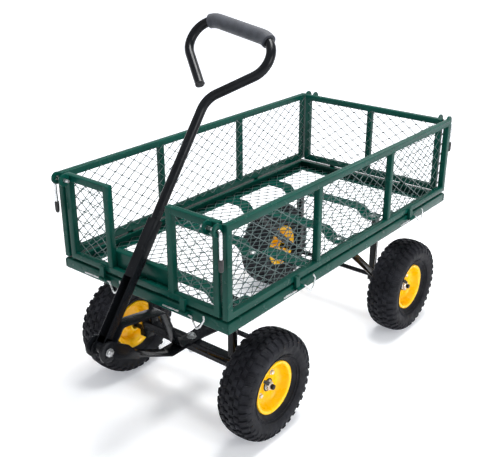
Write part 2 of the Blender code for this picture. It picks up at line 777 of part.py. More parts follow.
def make_rim(name, body, centre, side):
    """A pressed rim: a drop-centre barrel with two flanges, a dished disc and a hub tube."""
    bore = AXLE_RADIUS + RUN
    barrel = [
        (FLANGE_REACH, RIM_EDGE + 0.0005),
        (FLANGE_REACH, RIM_EDGE - 0.010),
        (0.0190, RIM_EDGE - 0.012),
        (0.0080, 0.045),
        (0.0010, 0.030),
        (0.0005, HUB_RADIUS),
        (HUB_OUTER, HUB_RADIUS),
        (HUB_OUTER, bore),
        (-HUB_INNER, bore),
        (-HUB_INNER, HUB_RADIUS),
        (-0.0040, HUB_RADIUS),
        (-0.0035, 0.031),
        (0.0030, 0.046),
        (0.0120, RIM_EDGE - 0.0145),
        (-0.0190, RIM_EDGE - 0.012),
        (-FLANGE_REACH, RIM_EDGE - 0.010),
        (-FLANGE_REACH, RIM_EDGE + 0.0005),
        (-0.0240, RIM_EDGE + 0.0015),
        (-0.0165, RIM_EDGE - 0.0085),
        (0.0165, RIM_EDGE - 0.0085),
        (0.0240, RIM_EDGE + 0.0015),
    ]
    profile = [(side * across, radius) for across, radius in barrel]
    add_piece(name, turned(profile, centre, 16), body, YELLOW, smooth=True)


def make_nut(name, body, centre, side):
    """The washer and lock nut that hold a wheel on its axle's end."""
    start = HUB_OUTER + 2 * GAP
    bore = AXLE_RADIUS + RUN
    profile = [
        (start, bore),
        (start, WASHER_RADIUS),
        (start + WASHER_THICKNESS, WASHER_RADIUS),
        (start + WASHER_THICKNESS, NUT_RADIUS),
        (start + NUT_LENGTH, NUT_RADIUS),
        (start + NUT_LENGTH, bore),
    ]
    nut = turned([(side * along, radius) for along, radius in profile], centre, 16)
    add_piece(name, nut, body, ZINC)


def make_wheels():
    for end, axle_y in (("front", FRONT_AXLE_Y), ("rear", REAR_AXLE_Y)):
        for side, word in ((-1, "left"), (1, "right")):
            corner = f"{end}_{word}"
            centre = (side * TRACK_HALF, axle_y, AXLE_Z)
            make_tyre(f"tyre_{corner}", f"wheel_{corner}", centre)
            make_rim(f"rim_{corner}", f"wheel_{corner}", centre, side)
            holder = f"knuckle_{word}" if end == "front" else "bed"
            make_nut(f"axle_nut_{corner}", holder, centre, side)


# ---------------------------------------------------------------- panels


def wall_lines(pairs):
    """Where the outer and inner faces of tubes from start to end lie, in order."""
    lines = set()
    for start, end in pairs:
        lines.update((start, start + TUBE_WALL, end - TUBE_WALL, end))
    return sorted(lines)


def tube_frame(rails, posts, low, high, to_world):
    """A frame of square tubes in the (u, v) plane: rails and posts are (start, end) pairs along v and u.

    The tubes are hollow, and the posts' hollows run out through the bottom rail.
    """
    us = wall_lines(posts)
    vs = wall_lines(rails)
    ws = (0.0, TUBE_WALL, TUBE - TUBE_WALL, TUBE)

    def within(value, pairs, inset):
        return any(start + inset <= value <= end - inset for start, end in pairs)

    def filled(i, j, k):
        u, v = (us[i] + us[i + 1]) / 2, (vs[j] + vs[j + 1]) / 2
        in_post, in_rail = within(u, posts, 0), within(v, rails, 0)
        if not (in_post or (in_rail and rail_reaches(u, v))):
            return False
        if k != 1:
            return True
        hollow_post = within(u, posts, TUBE_WALL) and v < vs[-2]
        hollow_rail = within(v, rails, TUBE_WALL) and us[1] < u < us[-2] and rail_reaches(u, v)
        return not (hollow_post or hollow_rail)

    def rail_reaches(u, v):
        return high is None or v < low or not (high[0] < u < high[1])

    bm = cells(us, vs, ws, filled)
    for vert in bm.verts:
        vert.co = to_world(*vert.co)
    return bm


def latch_ear(x_start, x_end, y, outer=EAR_RADIUS):
    return ring(x_start, x_end, EAR_HOLE, outer, 16, middle=(0, y, LATCH_Z))


def hinge_tab(out, centre, shift):
    """A tab on a panel's bottom rail that comes down outside the tray to the hinge wire."""
    to_world = placed_along(out, centre)
    inner = 0.0007
    top = PANEL_BOTTOM - HINGE_Z + 0.014
    wall = 0.0045
    turns = [math.radians(angle) for angle in range(-90, 91, 30)]
    round_end = [(HINGE_REACH + wall * math.cos(turn), wall * math.sin(turn)) for turn in turns]
    step = PANEL_BOTTOM - HINGE_Z
    outline = [(inner + 0.0012, -wall), *round_end, (HINGE_REACH - 0.001, top)]
    outline += [(-0.001, top), (-0.001, step + 0.001), (inner, step + 0.001)]
    tab = extruded(outline, lambda v, w, u: to_world(u + shift, v, w), 0.014)
    return joined([tab], [wire_hole(to_world, shift - 0.01, shift + 0.03)])


TAB_SHIFT = 0.0015


def panel_tabs(picked):
    return [hinge_tab(out, centre, TAB_SHIFT) for out, centre in hinge_places() if picked(out)]


def make_side_panels():
    end = BED_LENGTH / 2
    for side, word in ((-1, "left"), (1, "right")):
        face = side * (BED_WIDTH / 2 - TUBE)
        posts = [(-end, -end + TUBE), (end - TUBE, end)]
        posts += [(y - TUBE / 2, y + TUBE / 2) for y in (-SIDE_UPRIGHT_Y, SIDE_UPRIGHT_Y)]
        rails = [(PANEL_BOTTOM, PANEL_BOTTOM + TUBE), (PANEL_TOP - TUBE, PANEL_TOP)]
        frame = tube_frame(rails, posts, 0, None, lambda u, v, w, s=side, f=face: Vector((f + s * w, u, v)))
        ears = []
        for facing in (-1, 1):
            start, stop = sorted((side * 0.2365, side * 0.2425))
            ears.append(latch_ear(start, stop, facing * (end + LATCH_REACH), 0.0142))
        tabs = panel_tabs(lambda out, s=side: out.x == s)
        add_piece(f"side_panel_frame_{word}", joined([frame, *ears, *tabs]), f"side_panel_{word}", GREEN)
        sheet_x = face - side * (GAP + BAR_THICKNESS if side > 0 else GAP)
        if side < 0:
            sheet_x = face + GAP
        low, high = (-end + 0.012, PANEL_BOTTOM + 0.012), (end - 0.012, PANEL_TOP - 0.012)
        sheet = lattice(low, high, lambda u, v, w, x=sheet_x: Vector((x + w, u, v)))
        add_piece(f"side_mesh_{word}", sheet, f"side_panel_{word}", WIRE_MESH)


def make_end_panel_frame(end, word, posts, gap, body):
    """The frame of the front or rear panel, with its latch ears and hinge tabs."""
    face = end * (BED_LENGTH / 2 - TUBE)
    rails = [(PANEL_BOTTOM, PANEL_BOTTOM + TUBE), (PANEL_TOP - TUBE, PANEL_TOP)]
    low = PANEL_BOTTOM + 2 * TUBE
    frame = tube_frame(rails, posts, low, gap, lambda u, v, w: Vector((u, face + end * w, v)))
    ear_y = end * (BED_LENGTH / 2 + LATCH_REACH)
    ears = []
    for side in (-1, 1):
        start, stop = sorted((side * 0.2115, side * 0.2155))
        ears.append(latch_ear(start, stop, ear_y))
    tabs = panel_tabs(lambda out: out.y == end)
    add_piece(f"{word}_panel_frame", joined([frame, *ears, *tabs]), body, GREEN)


def end_mesh(name, end, low_x, high_x, body):
    face = end * (BED_LENGTH / 2 - TUBE)
    start = face + GAP if end < 0 else face - GAP - BAR_THICKNESS
    low, high = (low_x, PANEL_BOTTOM + 0.012), (high_x, PANEL_TOP - 0.012)
    sheet = lattice(low, high, lambda u, v, w: Vector((u, start + w, v)))
    add_piece(name, sheet, body, WIRE_MESH)


def make_end_panels():
    outer = [(-END_PANEL_HALF, -END_PANEL_HALF + TUBE), (END_PANEL_HALF - TUBE, END_PANEL_HALF)]
    make_end_panel_frame(1, "rear", outer + [(-TUBE / 2, TUBE / 2)], None, "rear_panel")
    end_mesh("rear_mesh", 1, -END_PANEL_HALF + 0.012, END_PANEL_HALF - 0.012, "rear_panel")
    uprights = [(x - TUBE / 2, x + TUBE / 2) for x in (-FRONT_UPRIGHT_X, FRONT_UPRIGHT_X)]
    gap = (-FRONT_UPRIGHT_X + TUBE / 2, FRONT_UPRIGHT_X - TUBE / 2)
    make_end_panel_frame(-1, "front", outer + uprights, gap, "bed")
    inner = FRONT_UPRIGHT_X + 0.002
    end_mesh("front_mesh_left", -1, -END_PANEL_HALF + 0.012, -inner, "bed")
    end_mesh("front_mesh_right", -1, inner, END_PANEL_HALF - 0.012, "bed")
    make_front_plate()


def make_front_plate():
    """The sheet behind the front panel's middle, folded back along its top edge, that the handle leans on."""
    back = -BED_LENGTH / 2 + TUBE + GAP
    bottom = PANEL_BOTTOM + 0.002
    outline = [(back, bottom), (back + SHEET, bottom), (back + SHEET, PLATE_TOP - SHEET)]
    outline += [(back + PLATE_FOLD, PLATE_TOP - SHEET), (back + PLATE_FOLD, PLATE_TOP), (back, PLATE_TOP)]
    half = FRONT_UPRIGHT_X + 0.0005
    plate = extruded(outline, lambda y, z, w: Vector((w - half, y, z)), 2 * half)
    add_piece("front_plate", plate, "bed", GREEN)


# ---------------------------------------------------------------- latches and hinge clips


def make_latches():
    """A bent rod at each corner pins the end panel's ear to the side panel's, and its lever hangs down."""
    for end, first in ((-1, "front"), (1, "rear")):
        for side, word in ((-1, "left"), (1, "right")):
            corner = f"{first}_{word}"
            y = end * (BED_LENGTH / 2 + LATCH_REACH)
            outer = side * LATCH_OUTER_X
            corners = [(side * LATCH_INNER_X, y, LATCH_Z), (outer, y, LATCH_Z), (outer, y, LEVER_BOTTOM)]
            rod = swept(rounded(corners, 0.0065, 4), LATCH_RADIUS - GAP, 10)
            add_piece(f"latch_rod_{corner}", rod, f"latch_{corner}", ZINC, smooth=True)
            bore = LATCH_RADIUS + 0.0002
            profile = [(TIP_TOP, bore), (TIP_TOP, TIP_RADIUS), (TIP_BOTTOM + 0.003, TIP_RADIUS)]
            profile += [(TIP_BOTTOM, 0.003), (TIP_BOTTOM, 0.0)]
            profile += [(LEVER_BOTTOM - 0.001, 0.0), (LEVER_BOTTOM - 0.001, bore)]
            tip = turned(profile, (outer, y, 0), 10, "Z")
            add_piece(f"latch_tip_{corner}", tip, f"latch_{corner}", CAP, smooth=True)


def make_hinge_clips():
    """Bent wires through the tray's lugs and the panels' tabs, each hooked under at its free end."""
    names = [f"hinge_clip_{side}_{end}" for side in ("left", "right") for end in ("front", "rear")]
    names += [f"hinge_clip_{end}_{side}" for end in ("front", "rear") for side in ("left", "right")]
    for name, (out, centre) in zip(names, hinge_places()):
        to_world = placed_along(out, centre)
        reach = HINGE_REACH
        drawn = [
            (-0.046, reach + 0.001, 0.000),
            (0.034, reach, 0.000),
            (0.052, reach + 0.004, -0.022),
            (0.062, reach + 0.004, -0.014),
            (0.072, reach + 0.001, 0.004),
            (0.068, reach - 0.001, 0.012),
        ]
        path = rounded([to_world(*point) for point in drawn], 0.0035, 1)
        add_piece(name, swept(path, WIRE_RADIUS, 6), "bed", ZINC, smooth=True)


def make_bodies():
    root = bpy.data.objects.new("cart", None)
    bpy.context.scene.collection.objects.link(root)
    root.location = (0, CART_SHIFT_Y, 0)
    add_body("bed", (0, 0, 0))
    bodies["bed"][0].parent = root
    add_body("tongue", (0, FRONT_AXLE_Y, STEER_LEVEL), "bed")
    add_body("tie_rod", (0, FRONT_AXLE_Y + STEER_ARM, TIE_LEVEL), "tongue")
    add_body("handle", PIVOT, "tongue")
    half_width, half_length = BED_WIDTH / 2 + HINGE_REACH, BED_LENGTH / 2 + HINGE_REACH
    add_body("rear_panel", (0, half_length, HINGE_Z), "bed")
    for side, word in ((-1, "left"), (1, "right")):
        add_body(f"knuckle_{word}", (side * KNUCKLE_X, FRONT_AXLE_Y, AXLE_Z), "bed")
        add_body(f"wheel_front_{word}", (side * TRACK_HALF, FRONT_AXLE_Y, AXLE_Z), f"knuckle_{word}")
        add_body(f"wheel_rear_{word}", (side * TRACK_HALF, REAR_AXLE_Y, AXLE_Z), "bed")
        add_body(f"side_panel_{word}", (side * half_width, 0, HINGE_Z), "bed")
        for end, first in ((-1, "front"), (1, "rear")):
            at = (side * LATCH_OUTER_X, end * (BED_LENGTH / 2 + LATCH_REACH), LATCH_Z)
            add_body(f"latch_{first}_{word}", at, f"side_panel_{word}")


clear_scene()
make_bodies()
make_tray()
make_floor()
make_slats()
make_rear_axle()
make_front_support()
make_kingpin()
make_knuckles()
make_tie_rod()
make_tongue()
make_clevis_bolt()
make_hitch_channel()
make_handle_tube()
make_wheels()
make_side_panels()
make_end_panels()
make_latches()
make_hinge_clips()
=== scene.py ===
"""The looks of the steel mesh garden cart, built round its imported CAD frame.

Metres, +Z up. The handle end faces -Y. Most pieces are laid out from the middle of the bed, and `piece`
moves them to the cart's own frame.
"""

import math

import bmesh
import bpy
from mathutils import Matrix, Vector, noise


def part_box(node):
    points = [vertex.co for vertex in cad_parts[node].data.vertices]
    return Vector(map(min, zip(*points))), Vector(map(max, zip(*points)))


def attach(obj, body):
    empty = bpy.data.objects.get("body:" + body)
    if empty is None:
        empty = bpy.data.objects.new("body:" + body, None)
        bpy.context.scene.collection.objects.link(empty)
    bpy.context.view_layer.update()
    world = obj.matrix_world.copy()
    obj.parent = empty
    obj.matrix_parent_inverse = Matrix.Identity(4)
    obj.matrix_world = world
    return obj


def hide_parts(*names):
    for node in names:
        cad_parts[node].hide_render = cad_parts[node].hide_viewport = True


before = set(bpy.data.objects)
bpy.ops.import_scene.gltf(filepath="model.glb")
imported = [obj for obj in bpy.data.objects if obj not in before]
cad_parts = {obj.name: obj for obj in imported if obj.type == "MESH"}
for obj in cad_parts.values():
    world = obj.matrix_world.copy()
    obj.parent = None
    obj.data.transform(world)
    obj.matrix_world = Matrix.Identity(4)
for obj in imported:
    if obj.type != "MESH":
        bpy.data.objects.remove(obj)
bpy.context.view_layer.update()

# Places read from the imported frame
floor_low, floor_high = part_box("floor_mesh")
SHEET = 0.002
BED_Y = (floor_low.y + floor_high.y) / 2
HALF_WIDTH = floor_high.x + 2 * SHEET
HALF_LENGTH = (floor_high.y - floor_low.y) / 2 + 2 * SHEET
TRAY_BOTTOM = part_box("tray_frame")[0].z
TRAY_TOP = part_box("tray_frame")[1].z
MESH_OVERLAP = 0.012
PANEL_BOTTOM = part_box("rear_mesh")[0].z - MESH_OVERLAP
PANEL_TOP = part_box("rear_mesh")[1].z + MESH_OVERLAP
END_PANEL_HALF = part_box("rear_mesh")[1].x + MESH_OVERLAP
bolt_low, bolt_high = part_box("clevis_bolt")
PIVOT = (bolt_low + bolt_high) / 2 - Vector((0, BED_Y, 0))

# Sheet and tube
TUBE = 0.016
TUBE_CORNER = 0.0021
TRAY_LIP = 0.020
TRAY_FLANGE = 0.032
SIDE_UPRIGHT_Y = 0.160
FRONT_UPRIGHT_X = 0.095
SLAT_WIDTH = 0.044
SLAT_DIP = 0.022
SLAT_DIP_REACH = 0.046
SLAT_FLARE = 0.036
SLATS = {
    "floor_slat_front": (-0.131, 0.131),
    "floor_slat_middle_front": (0.020,),
    "floor_slat_middle_rear": (-0.1415, 0.1415),
    "floor_slat_rear": (-0.131, 0.131),
}
PLATE_TOP = 0.427
PLATE_FOLD = 0.014

# Expanded mesh: half the diamond each way, and its strands
MESH_HALF = 0.021
MESH_ROW = 0.0142
STRAND = 0.0017
STRAND_THICKNESS = 0.0013
STRAND_RAISE = 0.0003
KNUCKLE = 0.0046

# Latches and hinges
LATCH_REACH = 0.013
LATCH_Z = 0.576
LATCH_INNER_X = 0.200
LATCH_OUTER_X = 0.2485
LATCH_RADIUS = 0.0037
EAR_HOLE = 0.0047
HINGE_REACH = 0.0085
HINGE_Z = 0.3585
WIRE_RADIUS = 0.0019
SIDE_HINGE_Y = 0.260
END_HINGE_X = 0.125

# Handle
HANDLE_TILT = math.radians(53.6)
SHAFT = Vector((0, math.cos(HANDLE_TILT), math.sin(HANDLE_TILT)))
SHAFT_FRONT = Vector((0, -math.sin(HANDLE_TILT), math.cos(HANDLE_TILT)))
SHAFT_RADIUS = 0.011
SLEEVE_HALF = 0.0125
SLEEVE_START = 0.164
SLEEVE_END = 0.300
GRIP_RADIUS = 0.017
LOOP_BEND = 0.052
LOOP_STEPS = 15
LOOP = ((0.0, 0.590), (0.208, 0.733), (-0.208, 0.803), (-0.034, 0.622))
FOOT_RADIUS = 0.017

# Wheels
TYRE_RADIUS = 0.1325
TYRE_HALF_WIDTH = 0.0436
RIM_EDGE = 0.0635
LUGS_ROUND = 36

# The steering's bolts
BOLT_RADIUS = 0.0058

UP = Vector((0, 0, 1))

# Light: the world overhead and at the horizon, the floor's own glow by the cart and far from it
WORLD_LIGHT = 0.34
HORIZON_LIGHT = 1.0
FLOOR_GLOW = 0.32
FAR_GLOW = 0.85
FLOOR_REACH = 40.0
LAMPS = (
    # name, place, size, power
    ("key", (-1.6, -2.2, 2.6), 1.2, 3.0),
    ("fill", (2.9, -0.2, 1.8), 1.4, 44.0),
    ("back", (-0.4, 2.6, 2.4), 1.6, 12.0),
    ("top", (0.2, 0.3, 3.0), 1.2, 98.0),
)


# ---------------------------------------------------------------- materials


def principled(name, roughness, metallic=0.0, coat=0.0, specular=0.5):
    made = bpy.data.materials.new(name)
    made.use_nodes = True
    shader = made.node_tree.nodes["Principled BSDF"]
    shader.inputs["Roughness"].default_value = roughness
    shader.inputs["Metallic"].default_value = metallic
    shader.inputs["Coat Weight"].default_value = coat
    shader.inputs["Coat Roughness"].default_value = 0.12
    shader.inputs["Specular IOR Level"].default_value = specular
    return made


def add_noise(made, scale, detail=3.0, roughness=0.5):
    nodes, links = made.node_tree.nodes, made.node_tree.links
    place = nodes.get("Place") or nodes.new("ShaderNodeTexCoord")
    place.name = "Place"
    texture = nodes.new("ShaderNodeTexNoise")
    texture.inputs["Scale"].default_value = scale
    texture.inputs["Detail"].default_value = detail
    texture.inputs["Roughness"].default_value = roughness
    links.new(place.outputs["Object"], texture.inputs["Vector"])
    return texture


def vary_colour(made, stops, scale, detail=4.0):
    """Base colour that drifts between the stops' (position, colour) with a soft noise."""
    nodes, links = made.node_tree.nodes, made.node_tree.links
    ramp = nodes.new("ShaderNodeValToRGB")
    elements = ramp.color_ramp.elements
    elements[0].position, elements[0].color = stops[0][0], (*stops[0][1], 1.0)
    elements[1].position, elements[1].color = stops[-1][0], (*stops[-1][1], 1.0)
    for position, colour in stops[1:-1]:
        elements.new(position).color = (*colour, 1.0)
    links.new(add_noise(made, scale, detail).outputs["Fac"], ramp.inputs["Fac"])
    links.new(ramp.outputs["Color"], nodes["Principled BSDF"].inputs["Base Color"])


def vary_roughness(made, low, high, scale, detail=3.0):
    nodes, links = made.node_tree.nodes, made.node_tree.links
    span = nodes.new("ShaderNodeMapRange")
    span.inputs["From Min"].default_value = 0.35
    span.inputs["From Max"].default_value = 0.65
    span.inputs["To Min"].default_value = low
    span.inputs["To Max"].default_value = high
    links.new(add_noise(made, scale, detail).outputs["Fac"], span.inputs["Value"])
    links.new(span.outputs["Result"], nodes["Principled BSDF"].inputs["Roughness"])


def add_bump(made, scale, distance, strength=1.0, detail=2.0):
    nodes, links = made.node_tree.nodes, made.node_tree.links
    bump = nodes.new("ShaderNodeBump")
    bump.inputs["Strength"].default_value = strength
    bump.inputs["Distance"].default_value = distance
    links.new(add_noise(made, scale, detail).outputs["Fac"], bump.inputs["Height"])
    shader = nodes["Principled BSDF"].inputs["Normal"]
    if shader.links:
        links.new(shader.links[0].from_socket, bump.inputs["Normal"])
    links.new(bump.outputs["Normal"], shader)


def make_green():
    """Dark green powder coat: glossy, with the fine orange peel of baked paint."""
    made = principled("green_powder_coat", 0.24, specular=0.13)
    vary_colour(made, ((0.35, (0.0014, 0.043, 0.031)), (0.65, (0.0020, 0.055, 0.041))), 9.0)
    vary_roughness(made, 0.18, 0.28, 40.0)
    add_bump(made, 420.0, 0.00012, 0.35)
    add_bump(made, 60.0, 0.0002, 0.25)
    return made


def make_black():
    made = principled("gloss_black_paint", 0.22, specular=0.15)
    vary_colour(made, ((0.35, (0.0045, 0.0052, 0.0066)), (0.65, (0.0080, 0.0090, 0.0110))), 14.0)
    vary_roughness(made, 0.16, 0.28, 45.0)
    add_bump(made, 380.0, 0.0001, 0.3)
    return made


def make_yellow():
    """Golden rim paint, a little warmer in patches where it is thicker."""
    made = principled("yellow_rim_paint", 0.28, specular=0.35)
    vary_colour(made, ((0.35, (0.98, 0.52, 0.001)), (0.65, (1.0, 0.60, 0.002))), 18.0)
    vary_roughness(made, 0.22, 0.36, 50.0)
    add_bump(made, 450.0, 0.00012, 0.3)
    return made


def make_zinc(name="zinc_plate", tint=(0.66, 0.67, 0.68)):
    """Bright zinc plate: cloudy, with a very fine grain."""
    made = principled(name, 0.26, metallic=1.0)
    dark = tuple(0.72 * value for value in tint)
    light = tuple(1.12 * value for value in tint)
    vary_colour(made, ((0.30, dark), (0.55, tint), (0.75, light)), 120.0, 5.0)
    vary_roughness(made, 0.20, 0.40, 160.0)
    add_bump(made, 1500.0, 0.00006, 0.4)
    return made


def make_mesh_paint():
    made = principled("mesh_powder_coat", 0.34, metallic=0.25, specular=0.35)
    vary_colour(made, ((0.35, (0.050, 0.082, 0.080)), (0.65, (0.085, 0.125, 0.122))), 35.0)
    vary_roughness(made, 0.28, 0.42, 90.0)
    add_bump(made, 900.0, 0.0001, 0.4)
    return made


def make_rubber():
    """Tyre rubber: bluish charcoal with a dusty bloom and the fine texture of the mould."""
    made = principled("tyre_rubber", 0.62, specular=0.15)
    bare, middle, dusty = (0.0060, 0.0064, 0.0088), (0.0095, 0.0102, 0.0138), (0.020, 0.021, 0.027)
    vary_colour(made, ((0.32, bare), (0.55, middle), (0.78, dusty)), 24.0, 6.0)
    vary_roughness(made, 0.52, 0.74, 70.0)
    add_bump(made, 900.0, 0.0002, 0.5)
    add_bump(made, 180.0, 0.0004, 0.3)
    return made


def make_foam():
    """Closed cell foam: a soft sheen over fine pores."""
    made = principled("grip_foam", 0.60, specular=0.45)
    made.node_tree.nodes["Principled BSDF"].inputs["Sheen Weight"].default_value = 0.35
    made.node_tree.nodes["Principled BSDF"].inputs["Sheen Roughness"].default_value = 0.45
    vary_colour(made, ((0.35, (0.014, 0.017, 0.026)), (0.65, (0.024, 0.029, 0.041))), 60.0)
    vary_roughness(made, 0.50, 0.68, 90.0)
    add_bump(made, 1400.0, 0.0005, 0.6, 4.0)
    return made


def make_vinyl(name="black_vinyl"):
    made = principled(name, 0.42)
    vary_colour(made, ((0.35, (0.008, 0.008, 0.009)), (0.65, (0.014, 0.014, 0.016))), 80.0)
    vary_roughness(made, 0.35, 0.50, 120.0)
    add_bump(made, 1200.0, 0.0001, 0.5)
    return made


GREEN = (make_green(), "green_powder_coat")
BLACK = (make_black(), "black_paint")
YELLOW = (make_yellow(), "yellow_paint")
ZINC = (make_zinc(), "zinc")
MESH = (make_mesh_paint(), "mesh_wire")
RUBBER = (make_rubber(), "tyre_rubber")
FOAM = (make_foam(), "foam")
VINYL = (make_vinyl(), "vinyl")


# ---------------------------------------------------------------- mesh helpers


def piece(name, bm, body, finish, *replaced, sharp=32):
    """Turns a mesh laid out from the bed's middle into a piece that rides on a body."""
    bmesh.ops.recalc_face_normals(bm, faces=bm.faces)
    mesh = bpy.data.meshes.new(name)
    bm.to_mesh(mesh)
    bm.free()
    mesh.transform(Matrix.Translation((0, BED_Y, 0)))
    mesh.shade_smooth()
    mesh.set_sharp_from_angle(angle=math.radians(sharp))
    mesh.materials.append(finish[0])
    obj = bpy.data.objects.new(name, mesh)
    bpy.context.scene.collection.objects.link(obj)
    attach(obj, body)
    if replaced:
        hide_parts(*replaced)
    return obj


def loft(bm, rings, closed=False, caps=True):
    """Skins a row of rings of equal count. A ring of one point closes the shape in a pole."""
    made = [[bm.verts.new(point) for point in ring] for ring in rings]
    pairs = list(zip(made, made[1:]))
    if closed:
        pairs.append((made[-1], made[0]))
    for here, there in pairs:
        count = max(len(here), len(there))
        for n in range(count):
            after = (n + 1) % count
            loop = [here[n % len(here)], here[after % len(here)]]
            loop += [there[after % len(there)], there[n % len(there)]]
            bm.faces.new(list(dict.fromkeys(loop)))
    if caps and not closed:
        for end in (made[0], made[-1]):
            if len(end) > 2:
                bm.faces.new(end)


def rounded_rectangle(half_a, half_b, radius, steps=3):
    points = []
    for quarter, (side_a, side_b) in enumerate(((1, 1), (-1, 1), (-1, -1), (1, -1))):
        for n in range(steps + 1):
            turn = math.pi / 2 * (quarter + n / steps)
            a = side_a * (half_a - radius) + radius * math.cos(turn)
            b = side_b * (half_b - radius) + radius * math.sin(turn)
            points.append((a, b))
    return points


def circle(radius, sides):
    turns = [2 * math.pi * n / sides for n in range(sides)]
    return [(radius * math.cos(turn), radius * math.sin(turn)) for turn in turns]


def rounded(corners, radius, steps):
    """A path through the corners, each inner one replaced by an arc of the radius."""
    points = [Vector(corners[0])]
    for before, at, after in zip(corners, corners[1:], corners[2:]):
        at = Vector(at)
        to_before = (Vector(before) - at).normalized()
        to_after = (Vector(after) - at).normalized()
        half = to_before.angle(to_after) / 2
        centre = at + (to_before + to_after).normalized() * radius / math.sin(half)
        start = at + to_before * radius / math.tan(half) - centre
        end = at + to_after * radius / math.tan(half) - centre
        sweep = start.angle(end)
        for n in range(steps + 1):
            share = n / steps
            mixed = start * math.sin((1 - share) * sweep) + end * math.sin(share * sweep)
            points.append(centre + mixed / math.sin(sweep))
    points.append(Vector(corners[-1]))
    return points


def sweep_flat(bm, path, profile, normal, closed=False, shrink=()):
    """Sweeps a (side, up) profile along a path in the plane of the normal, with mitred corners.

    shrink gives the profile's scale at the first stations, mirrored at the last ones.
    """
    rings = []
    last = len(path) - 1
    for n, point in enumerate(path):
        ways = []
        if n or closed:
            ways.append((point - path[n - 1]).normalized())
        if n < last or closed:
            ways.append((path[(n + 1) % len(path)] - point).normalized())
        along = sum(ways, Vector()).normalized()
        side = along.cross(normal).normalized()
        stretch = 1 / max(0.3, side.dot(ways[0].cross(normal)))
        from_end = min(n, last - n)
        scale = shrink[from_end] if from_end < len(shrink) else 1.0
        rings.append([point + side * a * stretch * scale + normal * b * scale for a, b in profile])
    loft(bm, rings, closed)


def rod(bm, path, radius, sides, radii=None, dome=True):
    """A round rod along any path, with softly rounded ends."""
    path = [Vector(point) for point in path]
    radii = radii or [radius] * len(path)
    across = (path[1] - path[0]).orthogonal().normalized()
    rings = []
    ends = (path[0] - path[1]).normalized(), (path[-1] - path[-2]).normalized()
    for n, point in enumerate(path):
        along = (path[min(n + 1, len(path) - 1)] - path[max(n - 1, 0)]).normalized()
        across = (across - along * across.dot(along)).normalized()
        upward = along.cross(across)
        ring = [point + (across * a + upward * b) * radii[n] for a, b in circle(1.0, sides)]
        if dome and n in (0, len(path) - 1):
            out = ends[0] if n == 0 else ends[1]
            tips = []
            for share in (0.35, 0.75):
                lift = out * radii[n] * 0.5 * share
                shrunk = math.sqrt(1 - share * share)
                tips.append([point + (corner - point) * shrunk + lift for corner in ring])
            rings += [*tips[::-1], ring] if n == 0 else [ring, *tips]
        else:
            rings.append(ring)
    loft(bm, rings)


def turn(bm, profile, centre, axis=Vector((1, 0, 0)), sides=32, closed=False):
    """Turns an (along, radius) profile round an axis. A radius of 0 makes a pole."""
    axis = Vector(axis).normalized()
    across = axis.orthogonal().normalized()
    upward = axis.cross(across)
    rings = []
    for along, radius in profile:
        middle = Vector(centre) + axis * along
        if radius <= 0:
            rings.append([middle])
        else:
            rings.append([middle + across * a + upward * b for a, b in circle(radius, sides)])
    loft(bm, rings, closed, caps=False)


def bar(bm, start, end, side, half_a, half_b, radius=TUBE_CORNER, steps=3, cap=0.0012):
    """A straight bar with a rounded rectangular section and eased ends."""
    start, end, side = Vector(start), Vector(end), Vector(side)
    along = (end - start).normalized()
    other = along.cross(side)
    rings = []
    for point, inset in ((start, cap), (start + along * cap, 0), (end - along * cap, 0), (end, cap)):
        shape = rounded_rectangle(half_a - inset, half_b - inset, max(radius - inset, 0.0002), steps)
        rings.append([point + side * a + other * b for a, b in shape])
    loft(bm, rings)


def weld(bm, centre, along, side, half_a, half_b, bead=0.0016):
    """A rippled weld bead round the joint where a tube meets another face."""
    centre, along, side = Vector(centre), Vector(along).normalized(), Vector(side)
    other = along.cross(side)
    shape = rounded_rectangle(half_a, half_b, TUBE_CORNER, 3)
    dense = []
    for (a0, b0), (a1, b1) in zip(shape, shape[1:] + shape[:1]):
        count = max(1, round(math.hypot(a1 - a0, b1 - b0) / 0.0016))
        dense += [(a0 + (a1 - a0) * m / count, b0 + (b1 - b0) * m / count) for m in range(count)]
    rings = []
    for n, (a, b) in enumerate(dense):
        out = (side * a + other * b).normalized()
        uneven = noise.noise(centre * 90 + Vector((a, b, n)) * 40)
        ripple = bead * (1.0 + 0.16 * math.cos(math.pi * n) + 0.2 * uneven)
        middle = centre + side * a + other * b
        ring = [middle + out * ripple * c + along * ripple * s for c, s in circle(1.0, 6)]
        rings.append(ring)
    loft(bm, rings, closed=True)


def plate(bm, outline, to_world, depth, edge=0.0007):
    """A flat convex-ish outline of (u, v) given thickness, its edges eased by insetting both faces."""
    count = len(outline)
    area = 0.0
    for (u0, v0), (u1, v1) in zip(outline, [*outline[1:], outline[0]]):
        area += u0 * v1 - u1 * v0
    flip = 1 if area > 0 else -1
    inset = []
    for n in range(count):
        before, at, after = (Vector(outline[(n + shift) % count]) for shift in (-1, 0, 1))
        d0, d1 = (at - before).normalized(), (after - at).normalized()
        n0, n1 = Vector((-d0.y, d0.x)) * flip, Vector((-d1.y, d1.x)) * flip
        middle = (n0 + n1).normalized()
        inset.append(at + middle * edge / max(0.35, middle.dot(n0)))
    rings = []
    for shape, w in ((inset, 0.0), (outline, edge), (outline, depth - edge), (inset, depth)):
        rings.append([to_world(u, v, w) for u, v in shape])
    loft(bm, rings)


